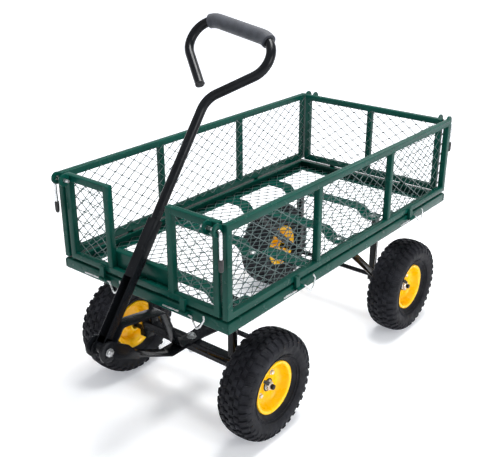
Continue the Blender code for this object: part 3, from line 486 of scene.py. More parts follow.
def hex_head(bm, centre, axis, width, height, washer=0.0):
    """A hexagon bolt head, chamfered at its corners, on an optional washer."""
    axis = Vector(axis).normalized()
    base = 0.0
    if washer:
        profile = [(0, 0), (0, washer - 0.0003), (0.0003, washer)]
        profile += [(0.0012, washer), (0.0015, washer - 0.0003), (0.0015, 0)]
        turn(bm, profile, centre, axis, 28)
        base = 0.0015
    across = axis.orthogonal().normalized()
    upward = axis.cross(across)
    corner = width / 2 / math.cos(math.pi / 6)
    rings = []
    for along, reach in ((base, 1.0), (base + height * 0.82, 1.0), (base + height, 0.86)):
        middle = Vector(centre) + axis * along
        rings.append([middle + (across * a + upward * b) for a, b in circle(corner * reach, 6)])
    middle = Vector(centre) + axis * (base + height)
    rings.append([middle + (across * a + upward * b) for a, b in circle(corner * 0.5, 6)])
    rings.append([middle])
    loft(bm, rings)


def dome_head(bm, centre, axis, radius, height):
    """A round carriage bolt head."""
    steps = 6
    profile = [(0.0, 0.0), (0.0, radius)]
    for n in range(1, steps + 1):
        share = math.pi / 2 * n / steps
        profile.append((height * math.sin(share), radius * math.cos(share) if n < steps else 0.0))
    turn(bm, profile, centre, axis, 24)


# ---------------------------------------------------------------- bed


def corner_loop(half_x, half_y, radius, height, steps=4):
    return [Vector((a, b, height)) for a, b in rounded_rectangle(half_x, half_y, radius, steps)]


def make_tray():
    """The tray: a folded channel round the bed, with a top lip and a bottom flange, and the hinge lugs."""
    bm = bmesh.new()
    bend = 0.003
    outer_arcs = []
    for z, start in ((TRAY_BOTTOM + bend, -90), (TRAY_TOP - bend, 0)):
        turns = [math.radians(start + 30 * n) for n in range(4)]
        outer_arcs.append([(bend - bend * math.cos(angle), z + bend * math.sin(angle)) for angle in turns])
    outline = outer_arcs[0] + outer_arcs[1]
    outline += [(TRAY_LIP, TRAY_TOP), (TRAY_LIP, TRAY_TOP - SHEET), (bend + 0.001, TRAY_TOP - SHEET)]
    outline += [(SHEET, TRAY_TOP - bend - 0.0015), (SHEET, TRAY_BOTTOM + bend + 0.0015)]
    outline += [(bend + 0.001, TRAY_BOTTOM + SHEET), (TRAY_FLANGE, TRAY_BOTTOM + SHEET)]
    outline += [(TRAY_FLANGE, TRAY_BOTTOM)]
    rings = []
    for inset, height in outline:
        radius = max(0.004 - inset, 0.0002)
        rings.append(corner_loop(HALF_WIDTH - inset, HALF_LENGTH - inset, radius, height))
    loft(bm, rings, closed=True)
    for out, centre in hinge_places():
        place = placed_along(out, centre)
        wall = 0.0045
        turns = [math.radians(angle) for angle in range(-90, 91, 15)]
        shape = [(-0.001, -wall)]
        shape += [(HINGE_REACH + wall * math.cos(angle), wall * math.sin(angle)) for angle in turns]
        shape += [(-0.001, wall)]
        plate(bm, shape, lambda v, w, u, place=place: place(u + 0.017, v, w), 0.010)
    for x, y in ((-1, -1), (-1, 1), (1, -1), (1, 1)):
        corner = Vector((x * (HALF_WIDTH - 0.001), y * (HALF_LENGTH - 0.001), TRAY_BOTTOM + 0.004))
        path = [corner + UP * 0.0018 * n for n in range(11)]
        radii = [0.0019 * (1.0 + 0.18 * math.cos(math.pi * n)) for n in range(11)]
        rod(bm, path, 0.0019, 8, radii)
    piece("tray", bm, "bed", GREEN, "tray_frame")


def hinge_places():
    places = []
    for side in (-1, 1):
        for y in (-SIDE_HINGE_Y, SIDE_HINGE_Y):
            places.append((Vector((side, 0, 0)), Vector((side * HALF_WIDTH, y, HINGE_Z))))
    for end in (-1, 1):
        for x in (-END_HINGE_X, END_HINGE_X):
            places.append((Vector((0, end, 0)), Vector((x, end * HALF_LENGTH, HINGE_Z))))
    return places


def placed_along(out, centre):
    along = UP.cross(out)

    def to_world(u, v, w):
        return centre + along * u + out * v + UP * w

    return to_world


def slat_drop(x, dips):
    drop = 0.0
    for dip in dips:
        if abs(x - dip) < SLAT_DIP_REACH:
            drop = max(drop, min(1.0, 0.75 * (1 + math.cos(math.pi * (x - dip) / SLAT_DIP_REACH))))
    return SLAT_DIP * drop


def make_slats():
    """Pressed cross slats: flared where they meet the tray, dipped where a support bolts on."""
    bolts = bmesh.new()
    for name, dips in SLATS.items():
        low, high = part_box(name)
        middle = (low.y + high.y) / 2 - BED_Y
        top = high.z
        reach = high.x
        bm = bmesh.new()
        stations = 96
        rings = []
        for n in range(stations + 1):
            x = -reach + 2 * reach * n / stations
            from_rail = reach - abs(x)
            flare = 0.0
            if from_rail < SLAT_FLARE:
                flare = SLAT_FLARE - math.sqrt(SLAT_FLARE**2 - (SLAT_FLARE - from_rail) ** 2)
            half = SLAT_WIDTH / 2 + min(flare, 0.026)
            z = top - slat_drop(x, dips)
            edge = 0.0022  # each long edge is turned down a little
            shape = ((-half, -edge), (-half + 0.0015, -0.0006), (-half + 0.004, 0), (0, 0))
            shape += ((half - 0.004, 0), (half - 0.0015, -0.0006), (half, -edge))
            ring = [Vector((x, middle + across, z + up)) for across, up in shape]
            under = z - SHEET * 0.9
            ring += [Vector((x, middle + across * 0.985, under + up)) for across, up in shape[::-1]]
            rings.append(ring)
        loft(bm, rings)
        piece(name.replace("floor_", ""), bm, "bed", GREEN, name, sharp=50)
        for dip in dips:
            spot = (dip, middle, top - SLAT_DIP)
            washer = [(0, 0.0), (0, 0.0098), (0.0010, 0.0098), (0.0012, 0.0094), (0.0012, 0.0)]
            dome_head(bolts, spot, UP, 0.0080, 0.0038)
            turn(bolts, washer, spot, UP, 24)
    piece("floor_bolts", bolts, "bed", ZINC)


def expanded_mesh(name, body, low, high, to_world):
    """Expanded metal: strands zigzag between knuckle lines and meet their neighbours there."""
    bm = bmesh.new()
    rows = max(1, round((high[1] - low[1]) / MESH_ROW))
    row = (high[1] - low[1]) / rows
    columns = max(2, round((high[0] - low[0]) / MESH_HALF))
    step = (high[0] - low[0]) / columns
    for j in range(rows):
        rings = []
        for i in range(columns + 1):
            upper = (i + j) % 2
            v = low[1] + (j + upper) * row + (-STRAND / 2 if upper else STRAND / 2)
            w = STRAND_RAISE if upper else -STRAND_RAISE
            u = low[0] + i * step
            for shift in (-KNUCKLE / 2, KNUCKLE / 2):
                at = min(max(u + shift, low[0]), high[0])
                half, deep = STRAND / 2, STRAND_THICKNESS / 2
                section = ((-half, -deep), (half, -deep), (half, deep), (-half, deep))
                if not rings or at > last_at + 1e-6:
                    rings.append([to_world(at, v + a, w + b) for a, b in section])
                    last_at = at
        loft(bm, rings)
    return piece(name.replace("_mesh", "_expanded_mesh"), bm, body, MESH, name, sharp=40)


def make_meshes():
    def flat_box(name):
        low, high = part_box(name)
        return low - Vector((0, BED_Y, 0)), high - Vector((0, BED_Y, 0))

    low, high = flat_box("floor_mesh")
    level = (low.z + high.z) / 2
    floor_low, floor_high = (low.y, low.x), (high.y, high.x)
    expanded_mesh("floor_mesh", "bed", floor_low, floor_high, lambda u, v, w: Vector((v, u, level + w)))
    for word in ("left", "right"):
        low, high = flat_box(f"side_mesh_{word}")
        x = (low.x + high.x) / 2
        expanded_mesh(
            f"side_mesh_{word}",
            f"side_panel_{word}",
            (low.y, low.z),
            (high.y, high.z),
            lambda u, v, w, x=x: Vector((x + w, u, v)),
        )
    end_meshes = {"rear_mesh": "rear_panel", "front_mesh_left": "bed", "front_mesh_right": "bed"}
    for name, body in end_meshes.items():
        low, high = flat_box(name)
        y = (low.y + high.y) / 2
        expanded_mesh(
            name, body, (low.x, low.z), (high.x, high.z), lambda u, v, w, y=y: Vector((u, y + w, v))
        )


# ---------------------------------------------------------------- panels


def ear(bm, x_start, x_end, y, outer):
    """A latch ear: a flat ring with eased edges, welded to the panel's end."""
    edge = 0.0008
    profile = [
        (x_start, EAR_HOLE + edge),
        (x_start, outer - edge),
        (x_start + edge, outer),
        (x_end - edge, outer),
        (x_end, outer - edge),
        (x_end, EAR_HOLE + edge),
        (x_end - edge, EAR_HOLE),
        (x_start + edge, EAR_HOLE),
    ]
    turn(bm, profile, (0, y, LATCH_Z), sides=36, closed=True)


def tabs(bm, picked):
    for out, centre in hinge_places():
        if not picked(out):
            continue
        place = placed_along(out, centre)
        wall = 0.0045
        step = PANEL_BOTTOM - HINGE_Z
        top = step + 0.014
        inner = 0.0007
        turns = [math.radians(angle) for angle in range(-90, 91, 15)]
        shape = [(inner + 0.0012, -wall)]
        shape += [(HINGE_REACH + wall * math.cos(angle), wall * math.sin(angle)) for angle in turns]
        shape += [(HINGE_REACH - 0.001, top), (-0.001, top), (-0.001, step + 0.001), (inner, step + 0.001)]
        plate(bm, shape, lambda v, w, u, place=place: place(u + 0.0015, v, w), 0.014, 0.0005)


def make_side_panels():
    profile = rounded_rectangle(TUBE / 2, TUBE / 2, TUBE_CORNER, 3)
    half_z = (PANEL_TOP - PANEL_BOTTOM) / 2 - TUBE / 2
    middle_z = (PANEL_TOP + PANEL_BOTTOM) / 2
    end = HALF_LENGTH - TUBE / 2
    for side, word in ((-1, "left"), (1, "right")):
        bm = bmesh.new()
        x = side * (HALF_WIDTH - TUBE / 2)
        low, high = middle_z - half_z, middle_z + half_z
        corners = [(x, -end, low), (x, end, low), (x, end, high), (x, -end, high)]
        sweep_flat(bm, [Vector(corner) for corner in corners], profile, Vector((1, 0, 0)), closed=True)
        for y in (-SIDE_UPRIGHT_Y, SIDE_UPRIGHT_Y):
            foot = Vector((x, y, PANEL_BOTTOM + TUBE - 0.001))
            head = Vector((x, y, PANEL_TOP - TUBE + 0.001))
            bar(bm, foot, head, Vector((1, 0, 0)), TUBE / 2 - 0.0003, TUBE / 2 - 0.0003, cap=0.0002)
            for joint in (foot + UP * 0.001, head - UP * 0.001):
                weld(bm, joint, UP, Vector((1, 0, 0)), TUBE / 2 - 0.001, TUBE / 2 - 0.001, 0.0017)
        for facing in (-1, 1):
            start, stop = sorted((side * 0.2365, side * 0.2425))
            ear(bm, start, stop, facing * (HALF_LENGTH + LATCH_REACH), 0.0142)
        tabs(bm, lambda out, side=side: out.x == side)
        piece(f"side_panel_{word}_tubes", bm, f"side_panel_{word}", GREEN, f"side_panel_frame_{word}")


def make_end_panel(end, word, body):
    """The rear panel is a closed frame with a middle post. The front one's top is open between two posts."""
    bm = bmesh.new()
    profile = rounded_rectangle(TUBE / 2, TUBE / 2, TUBE_CORNER, 3)
    y = end * (HALF_LENGTH - TUBE / 2)
    half_x = END_PANEL_HALF - TUBE / 2
    low, high = PANEL_BOTTOM + TUBE / 2, PANEL_TOP - TUBE / 2
    across = Vector((1, 0, 0))
    corners = ((-half_x, high), (-half_x, low), (half_x, low), (half_x, high))
    outline = [Vector((x, y, z)) for x, z in corners]
    if end > 0:
        sweep_flat(bm, outline, profile, Vector((0, 1, 0)), closed=True)
        foot, head = Vector((0, y, low + TUBE / 2 - 0.001)), Vector((0, y, high - TUBE / 2 + 0.001))
        bar(bm, foot, head, across, TUBE / 2 - 0.0003, TUBE / 2 - 0.0003, cap=0.0002)
        for joint in (foot, head):
            weld(bm, joint, UP, across, TUBE / 2 - 0.001, TUBE / 2 - 0.001, 0.0017)
    else:
        inner = FRONT_UPRIGHT_X + TUBE / 2
        path = [Vector((-inner + 0.001, y, high)), *outline, Vector((inner - 0.001, y, high))]
        sweep_flat(bm, path, profile, Vector((0, 1, 0)))
        for side in (-1, 1):
            x = side * FRONT_UPRIGHT_X
            foot = Vector((x, y, PANEL_BOTTOM + TUBE - 0.001))
            bar(bm, foot, Vector((x, y, PANEL_TOP)), across, TUBE / 2, TUBE / 2, cap=0.0014)
            weld(bm, foot, UP, across, TUBE / 2 - 0.001, TUBE / 2 - 0.001, 0.0017)
            joint = Vector((side * inner, y, high))
            weld(bm, joint, across, UP, TUBE / 2 - 0.001, TUBE / 2 - 0.001, 0.0016)
    for side in (-1, 1):
        start, stop = sorted((side * 0.2115, side * 0.2155))
        ear(bm, start, stop, end * (HALF_LENGTH + LATCH_REACH), 0.015)
    tabs(bm, lambda out: out.y == end)
    piece(f"{word}_panel_tubes", bm, body, GREEN, f"{word}_panel_frame")


def make_front_plate():
    """The folded sheet behind the front panel's opening."""
    bm = bmesh.new()
    back = -HALF_LENGTH + TUBE + 0.0003
    bend = 0.003
    bottom = PANEL_BOTTOM + 0.002
    turns = [math.radians(180 - 15 * n) for n in range(7)]
    sheet = 0.0018
    fold_y, fold_z = back + bend, PLATE_TOP - bend
    outer = [(fold_y + bend * math.cos(angle), fold_z + bend * math.sin(angle)) for angle in turns]
    thin = bend - sheet
    inner = [(fold_y + thin * math.cos(angle), fold_z + thin * math.sin(angle)) for angle in turns]
    outline = [(back, bottom), *outer, (back + PLATE_FOLD, PLATE_TOP)]
    outline += [(back + PLATE_FOLD, PLATE_TOP - sheet), *inner[::-1], (back + sheet, bottom)]
    half = FRONT_UPRIGHT_X + 0.0005
    rings = [[Vector((x, y, z)) for y, z in outline] for x in (-half, half)]
    loft(bm, rings)
    piece("front_sheet", bm, "bed", GREEN, "front_plate", sharp=25)


# ---------------------------------------------------------------- latches and hinge clips


def make_latches():
    for end, first in ((-1, "front"), (1, "rear")):
        for side, word in ((-1, "left"), (1, "right")):
            corner = f"{first}_{word}"
            body = f"latch_{corner}"
            y = end * (HALF_LENGTH + LATCH_REACH)
            outer = side * LATCH_OUTER_X
            low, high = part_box(f"latch_tip_{corner}")
            corners = [(side * LATCH_INNER_X, y, LATCH_Z), (outer, y, LATCH_Z), (outer, y, low.z + 0.006)]
            bm = bmesh.new()
            rod(bm, rounded(corners, 0.0065, 8), LATCH_RADIUS, 20)
            piece(f"latch_pin_{corner}", bm, body, ZINC, f"latch_rod_{corner}")
            bm = bmesh.new()
            radius = (high.x - low.x) / 2 / math.cos(math.pi / 10)
            profile = [
                (high.z, LATCH_RADIUS + 0.0001),
                (high.z, radius - 0.0009),
                (high.z - 0.0009, radius - 0.0002),
                (high.z - 0.0024, radius),
                (high.z - 0.0030, radius - 0.0004),
                (high.z - 0.0036, radius),
                (low.z + 0.006, radius * 0.94),
                (low.z + 0.0025, radius * 0.80),
                (low.z + 0.0006, radius * 0.5),
                (low.z, 0),
            ]
            turn(bm, profile, (outer, y, 0), UP, 24)
            piece(f"latch_cap_{corner}", bm, body, VINYL, f"latch_tip_{corner}")


def make_hinge_clips():
    names = [f"hinge_clip_{side}_{end}" for side in ("left", "right") for end in ("front", "rear")]
    names += [f"hinge_clip_{end}_{side}" for end in ("front", "rear") for side in ("left", "right")]
    for name, (out, centre) in zip(names, hinge_places()):
        place = placed_along(out, centre)
        drawn = [
            (-0.046, HINGE_REACH + 0.001, 0.000),
            (0.034, HINGE_REACH, 0.000),
            (0.052, HINGE_REACH + 0.004, -0.022),
            (0.062, HINGE_REACH + 0.004, -0.014),
            (0.072, HINGE_REACH + 0.001, 0.004),
            (0.068, HINGE_REACH - 0.001, 0.012),
        ]
        bm = bmesh.new()
        rod(bm, rounded([place(*point) for point in drawn], 0.0035, 5), WIRE_RADIUS, 12)
        piece(name.replace("clip", "wire"), bm, "bed", ZINC, name)


# ---------------------------------------------------------------- handle


def on_handle(across, along, forward=0.0):
    return PIVOT + Vector((across, 0, 0)) + SHAFT * along + SHAFT_FRONT * forward


def make_handle():
    corners = [on_handle(0, SLEEVE_START + 0.006), *(on_handle(*point) for point in LOOP)]
    path = rounded(corners, LOOP_BEND, LOOP_STEPS)
    bm = bmesh.new()
    sweep_flat(bm, path, circle(SHAFT_RADIUS, 28), SHAFT_FRONT)
    piece("handle_bar", bm, "handle", BLACK, "handle_tube")

    plug = bmesh.new()
    out = (path[-1] - path[-2]).normalized()
    profile = [(-0.010, 0.0), (-0.010, 0.0090), (-0.0002, 0.0092), (0.0002, SHAFT_RADIUS + 0.0003)]
    profile += [(0.0014, SHAFT_RADIUS + 0.0003), (0.0022, SHAFT_RADIUS - 0.0008)]
    profile += [(0.0026, 0.006), (0.0027, 0.0)]
    turn(plug, profile, path[-1], out, 28)
    piece("handle_plug", plug, "handle", VINYL)

    straight = 2 * (LOOP_STEPS + 1)
    reach = LOOP_STEPS // 5
    held = path[straight - reach : straight + 2 + reach]
    start = held[0] + (held[0] - held[1]).normalized() * 0.0001
    grip = bmesh.new()
    dense = [start]
    for here, there in zip(held, held[1:]):
        count = max(1, round((there - here).length / 0.010))
        dense += [here.lerp(there, (m + 1) / count) for m in range(count)]
    radii = []
    for n in range(len(dense)):
        from_end = min(n, len(dense) - 1 - n)
        radii.append(GRIP_RADIUS * (0.985 if from_end == 0 else 1.0))
    rod(grip, dense, GRIP_RADIUS, 36, radii, dome=False)
    for tip, inner in ((dense[0], dense[1]), (dense[-1], dense[-2])):
        out = (tip - inner).normalized()
        edge = [(-0.001, GRIP_RADIUS * 0.985), (0.0006, GRIP_RADIUS * 0.95)]
        edge += [(0.0010, GRIP_RADIUS * 0.90), (0.0010, SHAFT_RADIUS)]
        turn(grip, edge, tip, out, 36)
    obj = piece("grip", grip, "handle", FOAM, "grip_foam", sharp=50)


def make_hitch():
    """The folded channel with its round foot on the pivot, closed into a sleeve round the handle's shaft."""
    bm = bmesh.new()
    half, wall = SLEEVE_HALF, 0.0018
    bend = 0.0035
    outer, inner = [], []
    for quarter, side in ((2, -1), (3, 1)):
        for n in range(6):
            angle = math.pi / 2 * (quarter + n / 5)
            centre_a, centre_b = side * (half - bend), -half + bend
            outer.append((centre_a + bend * math.cos(angle), centre_b + bend * math.sin(angle)))
            thin = bend - wall
            inner.append((centre_a + thin * math.cos(angle), centre_b + thin * math.sin(angle)))
    lip = half - 0.0006
    section = [(-half, lip), *outer, (half, lip), (half - wall / 2, half), (half - wall, lip)]
    section += [*inner[::-1], (-half + wall, lip), (-half + wall / 2, half)]
    rings = [[on_handle(a, along, b) for a, b in section] for along in (0.012, SLEEVE_START + 0.002)]
    loft(bm, rings)
    shape = rounded_rectangle(half + 0.0002, half + 0.0002, bend, 5)
    hollow = rounded_rectangle(half - wall, half - wall, bend - wall, 5)
    rings = []
    for points, along in (
        (hollow, SLEEVE_START + 0.004),
        (hollow, SLEEVE_START),
        (shape, SLEEVE_START),
        (shape, SLEEVE_END),
        (hollow, SLEEVE_END),
        (hollow, SLEEVE_END - 0.004),
    ):
        rings.append([on_handle(a, along, b) for a, b in points])
    loft(bm, rings)
    closing = (SLEEVE_END - 0.006, SLEEVE_END - 0.002)
    rings = [[on_handle(a, along, b) for a, b in hollow] for along in closing]
    loft(bm, rings)
    for side in (-1, 1):
        turns = [math.radians(angle) for angle in range(90, 271, 10)]
        outline = [(FOOT_RADIUS * math.cos(angle), FOOT_RADIUS * math.sin(angle)) for angle in turns]
        outline += [(0.012, -half), (0.026, -half + 0.002), (0.026, half - 0.002), (0.012, half)]
        x = side * (half - wall) if side > 0 else -half
        plate(bm, outline, lambda v, w, u, x=x: on_handle(x + u, v, w), wall, 0.0005)
    bush = [(-half + wall, 0.0), (-half + wall, 0.0105), (half - wall, 0.0105), (half - wall, 0.0)]
    turn(bm, bush, PIVOT, sides=28)
    piece("hitch", bm, "handle", BLACK, "hitch_channel", sharp=30)


# ---------------------------------------------------------------- wheels


def tyre_section():
    """Half of the tyre's outline, crown to bead, as (along, across, radius, normal) samples."""
    shares = (
        (0.0, 0.972),
        (0.30, 0.968),
        (0.60, 0.950),
        (0.82, 0.912),
        (0.955, 0.850),
        (1.0, 0.775),
        (0.975, 0.700),
        (0.90, 0.632),
        (0.78, 0.580),
        (0.66, 0.530),
        (0.62, 0.498),
    )
    points = [Vector((a * TYRE_HALF_WIDTH * 0.985, r * TYRE_RADIUS)) for a, r in shares]
    mirrored = [Vector((-points[1].x, points[1].y)), *points, points[-1] * 2 - points[-2]]
    smooth = []
    for p0, p1, p2, p3 in zip(mirrored, mirrored[1:], mirrored[2:], mirrored[3:]):
        for n in range(4):
            t = n / 4
            squared = (2 * p0 - 5 * p1 + 4 * p2 - p3) * t * t
            cubed = (3 * p1 - p0 - 3 * p2 + p3) * t**3
            smooth.append(0.5 * (2 * p1 + (p2 - p0) * t + squared + cubed))
    smooth.append(points[-1])
    samples = []
    length = 0.0
    for n, point in enumerate(smooth):
        if n:
            length += (point - smooth[n - 1]).length
        way = (smooth[min(n + 1, len(smooth) - 1)] - smooth[max(n - 1, 0)]).normalized()
        samples.append((length, point.x, point.y, -way.y, way.x))
    return samples


SECTION = tyre_section()


def on_tyre(along, turn_angle, lift, side):
    """A point at a length from the crown's middle over one side of the tyre, lifted off its skin."""
    place = min(abs(along), SECTION[-1][0] - 1e-6)
    n = next(index for index, sample in enumerate(SECTION[1:]) if sample[0] >= place)
    here, there = SECTION[n], SECTION[n + 1]
    share = (place - here[0]) / (there[0] - here[0])
    across, radius, normal_a, normal_r = (here[k] + share * (there[k] - here[k]) for k in (1, 2, 3, 4))
    sign = side if along >= 0 else -side
    across, radius = across + normal_a * lift, radius + normal_r * lift
    return Vector((sign * across, radius * math.sin(turn_angle), radius * math.cos(turn_angle)))


def tread_block(bm, centre, side, corners, height, along_cells=1):
    """A block on the tread between four (along, round) corners in metres, with eased top edges."""

    def at(u, v):
        (a0, r0), (a1, r1), (a2, r2), (a3, r3) = corners
        along = (1 - v) * ((1 - u) * a0 + u * a1) + v * ((1 - u) * a3 + u * a2)
        round_way = (1 - v) * ((1 - u) * r0 + u * r1) + v * ((1 - u) * r3 + u * r2)
        return along, round_way / TYRE_RADIUS

    ease = 0.10
    between = [ease + (1 - 2 * ease) * n / along_cells for n in range(1, along_cells)]
    us = [0.0, ease, *between, 1 - ease, 1.0]
    vs = [0.0, ease, 1 - ease, 1.0]
    grid = []
    for i, u in enumerate(us):
        line = []
        for j, v in enumerate(vs):
            rim = i in (0, len(us) - 1) or j in (0, len(vs) - 1)
            along, turn_angle = at(u, v)
            lift = height - (0.0009 if rim else 0.0)
            line.append(bm.verts.new(centre + on_tyre(along, turn_angle, lift, side)))
        grid.append(line)
    for i in range(len(us) - 1):
        for j in range(len(vs) - 1):
            bm.faces.new((grid[i][j], grid[i + 1][j], grid[i + 1][j + 1], grid[i][j + 1]))
    border = [(i, 0) for i in range(len(us))] + [(len(us) - 1, j) for j in range(1, len(vs))]
    border += [(i, len(vs) - 1) for i in range(len(us) - 2, -1, -1)]
    border += [(0, j) for j in range(len(vs) - 2, 0, -1)]
    foot = []
    spread = 0.05
    for i, j in border:
        u = us[i] + (us[i] - 0.5) * spread * 2
        v = vs[j] + (vs[j] - 0.5) * spread * 2
        along, turn_angle = at(u, v)
        foot.append(bm.verts.new(centre + on_tyre(along, turn_angle, -0.0008, side)))
    for n in range(len(border)):
        after = (n + 1) % len(border)
        (i0, j0), (i1, j1) = border[n], border[after]
        bm.faces.new((grid[i0][j0], grid[i1][j1], foot[after], foot[n]))


def make_tyre(corner, body, centre):
    bm = bmesh.new()
    outer = [(sample[1], sample[2]) for sample in SECTION]
    profile = [(-a, r) for a, r in outer[:0:-1]] + outer
    inside = ((0.50, 0.500), (0.55, 0.62), (-0.55, 0.62), (-0.50, 0.500))
    inner = [(a * TYRE_HALF_WIDTH, r * TYRE_RADIUS) for a, r in inside]
    turn(bm, profile + inner, centre, sides=108, closed=True)
    pitch = 2 * math.pi * TYRE_RADIUS / LUGS_ROUND
    crown = TYRE_RADIUS - SECTION[0][2]
    for n in range(LUGS_ROUND):
        for side in (-1, 1):
            shift = n * pitch + (0.5 * pitch if side > 0 else 0.0)
            long = 0.62 * pitch
            slant = 0.0035

            def block(first, second, offset, height, length=long, lean=slant, cells=1, shift=shift, side=side):
                start = shift + offset * pitch
                end = start + length
                corners = [(first, start), (second, start + lean), (second, end + lean), (first, end)]
                tread_block(bm, centre, side, corners, height, cells)

            block(-0.0015, 0.0105, 0.0, crown)
            block(0.0135, 0.0235, 0.45, crown, 0.60 * pitch, -0.003, 2)
            block(0.0265, 0.0435, 0.0, crown * 0.98, 0.52 * pitch, 0.002, 4)
            block(0.0450, 0.0560, 0.08, 0.0013, 0.26 * pitch, 0.001, 3)
    for radius_share, across_share, size in ((0.625, 0.90, 0.0012), (0.585, 0.80, 0.0015)):
        for side in (-1, 1):
            middle = side * across_share * TYRE_HALF_WIDTH
            ring = [(middle + size * a, radius_share * TYRE_RADIUS + size * b) for a, b in circle(1.0, 8)]
            turn(bm, ring, centre, sides=96, closed=True)
    piece(f"knobby_tyre_{corner}", bm, body, RUBBER, f"tyre_{corner}", sharp=38)


def make_rim(corner, body, centre, side):
    bm = bmesh.new()
    edge = RIM_EDGE
    outer_face = [
        (0.0262, edge + 0.0012),
        (0.0278, edge + 0.0010),
        (0.0288, edge - 0.0004),
        (0.0290, edge - 0.0026),
        (0.0284, edge - 0.0052),
        (0.0268, edge - 0.0072),
        (0.0240, edge - 0.0084),
        (0.0180, edge - 0.0098),
        (0.0110, edge - 0.0118),
        (0.0065, edge - 0.0140),
        (0.0035, edge - 0.0178),
        (0.0020, 0.0400),
        (0.0014, 0.0325),
        (0.0012, 0.0275),
        (0.0014, 0.0225),
        (0.0022, 0.0196),
        (0.0040, 0.0184),
        (0.0066, 0.0180),
        (0.0078, 0.0172),
        (0.0080, 0.0120),
    ]
    inner_face = [
        (-0.0284, 0.0120),
        (-0.0282, 0.0172),
        (-0.0200, 0.0180),
        (-0.0040, 0.0180),
        (-0.0020, 0.0260),
        (-0.0012, edge - 0.0200),
        (-0.0150, edge - 0.0165),
        (-0.0200, edge - 0.0095),
        (-0.0215, edge - 0.0070),
        (-0.0250, edge - 0.0052),
        (-0.0276, edge - 0.0040),
        (-0.0288, edge - 0.0024),
        (-0.0288, edge - 0.0004),
        (-0.0278, edge + 0.0010),
        (-0.0262, edge + 0.0012),
    ]
    profile = [(side * a, r) for a, r in outer_face + inner_face]
    turn(bm, profile, centre, sides=72, closed=True)
    piece(f"dished_rim_{corner}", bm, body, YELLOW, f"rim_{corner}", sharp=50)

    bolts = bmesh.new()
    out = Vector((side, 0, 0))
    for n in range(4):
        angle = math.pi / 4 + math.pi / 2 * n
        spot = centre + Vector((side * 0.0022, 0.0300 * math.cos(angle), 0.0300 * math.sin(angle)))
        hex_head(bolts, spot, out, 0.0095, 0.0042, washer=0.0068)
    piece(f"rim_bolts_{corner}", bolts, body, ZINC)

    valve = bmesh.new()
    root = centre + Vector((side * 0.0110, -0.0340, 0.0340))
    profile = [(-0.004, 0.0), (-0.004, 0.0062), (0.001, 0.0062), (0.004, 0.0044), (0.013, 0.0040)]
    profile += [(0.0135, 0.0044), (0.0235, 0.0044), (0.0245, 0.0038), (0.0250, 0.0)]
    turn(valve, profile, root, Vector((side, 0.62, -0.62)).normalized(), 20)
    piece(f"valve_{corner}", valve, body, VINYL)

    seal = bmesh.new()
    ring = [(0.0070, 0.0134), (0.0070, 0.0160), (0.0088, 0.0160), (0.0093, 0.0154), (0.0093, 0.0134)]
    turn(seal, [(side * a, r) for a, r in ring], centre, sides=32, closed=True)
    piece(f"hub_seal_{corner}", seal, body, BLACK)


def make_nut(corner, body, centre, side):
    """The washer, the lock nut and the axle's threaded end."""
    low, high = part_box(f"axle_nut_{corner}")
    start = low.x if side > 0 else high.x
    out = Vector((side, 0, 0))
    spot = Vector((start, centre.y, centre.z))
    bm = bmesh.new()
    washer = [(0.0, 0.0066), (0.0, 0.0124), (0.0003, 0.0128)]
    washer += [(0.0017, 0.0128), (0.0020, 0.0124), (0.0020, 0.0066)]
    turn(bm, washer, spot, out, 32, closed=True)
    hex_head(bm, spot + out * 0.0020, out, 0.0190, 0.0072)
    collar = [(0.0085, 0.0), (0.0085, 0.0082), (0.0105, 0.0078), (0.0110, 0.0068), (0.0110, 0.0)]
    turn(bm, collar, spot, out, 28)
    piece(f"lock_nut_{corner}", bm, body, ZINC, f"axle_nut_{corner}")


def make_wheels():
    for end in ("front", "rear"):
        for side, word in ((-1, "left"), (1, "right")):
            corner = f"{end}_{word}"
            low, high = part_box(f"tyre_{corner}")
            middle = (low + high) / 2 - Vector((0, BED_Y, 0))
            centre = Vector((middle.x, middle.y, TYRE_RADIUS))
            make_tyre(corner, f"wheel_{corner}", centre)
            make_rim(corner, f"wheel_{corner}", centre, side)
            make_nut(corner, f"knuckle_{word}" if end == "front" else "bed", centre, side)


# ---------------------------------------------------------------- under-frame


def ease_edges(name, width):
    """A carried-over CAD node keeps its shape and gets eased edges and its finish."""
    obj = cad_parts[name]
    weld_points = obj.modifiers.new("weld", "WELD")
    weld_points.merge_threshold = 0.00001
    bevel = obj.modifiers.new("ease", "BEVEL")
    bevel.width = width
    bevel.segments = 2
    bevel.limit_method = "ANGLE"
    bevel.angle_limit = math.radians(40)
    bevel.harden_normals = False
    for polygon in obj.data.polygons:
        polygon.use_smooth = True
    obj.data.materials.clear()
    obj.data.materials.append(BLACK[0])


def make_underframe():
    steering = ("knuckle_left", "knuckle_right", "tie_rod", "tongue", "tongue_upper_strap")
    for name in ("front_axle_support", *steering):
        ease_edges(name, 0.0008)
    for name in ("rear_axle", "rear_post_left", "rear_post_right", "rear_brace_left", "rear_brace_right"):
        ease_edges(name, 0.0007)


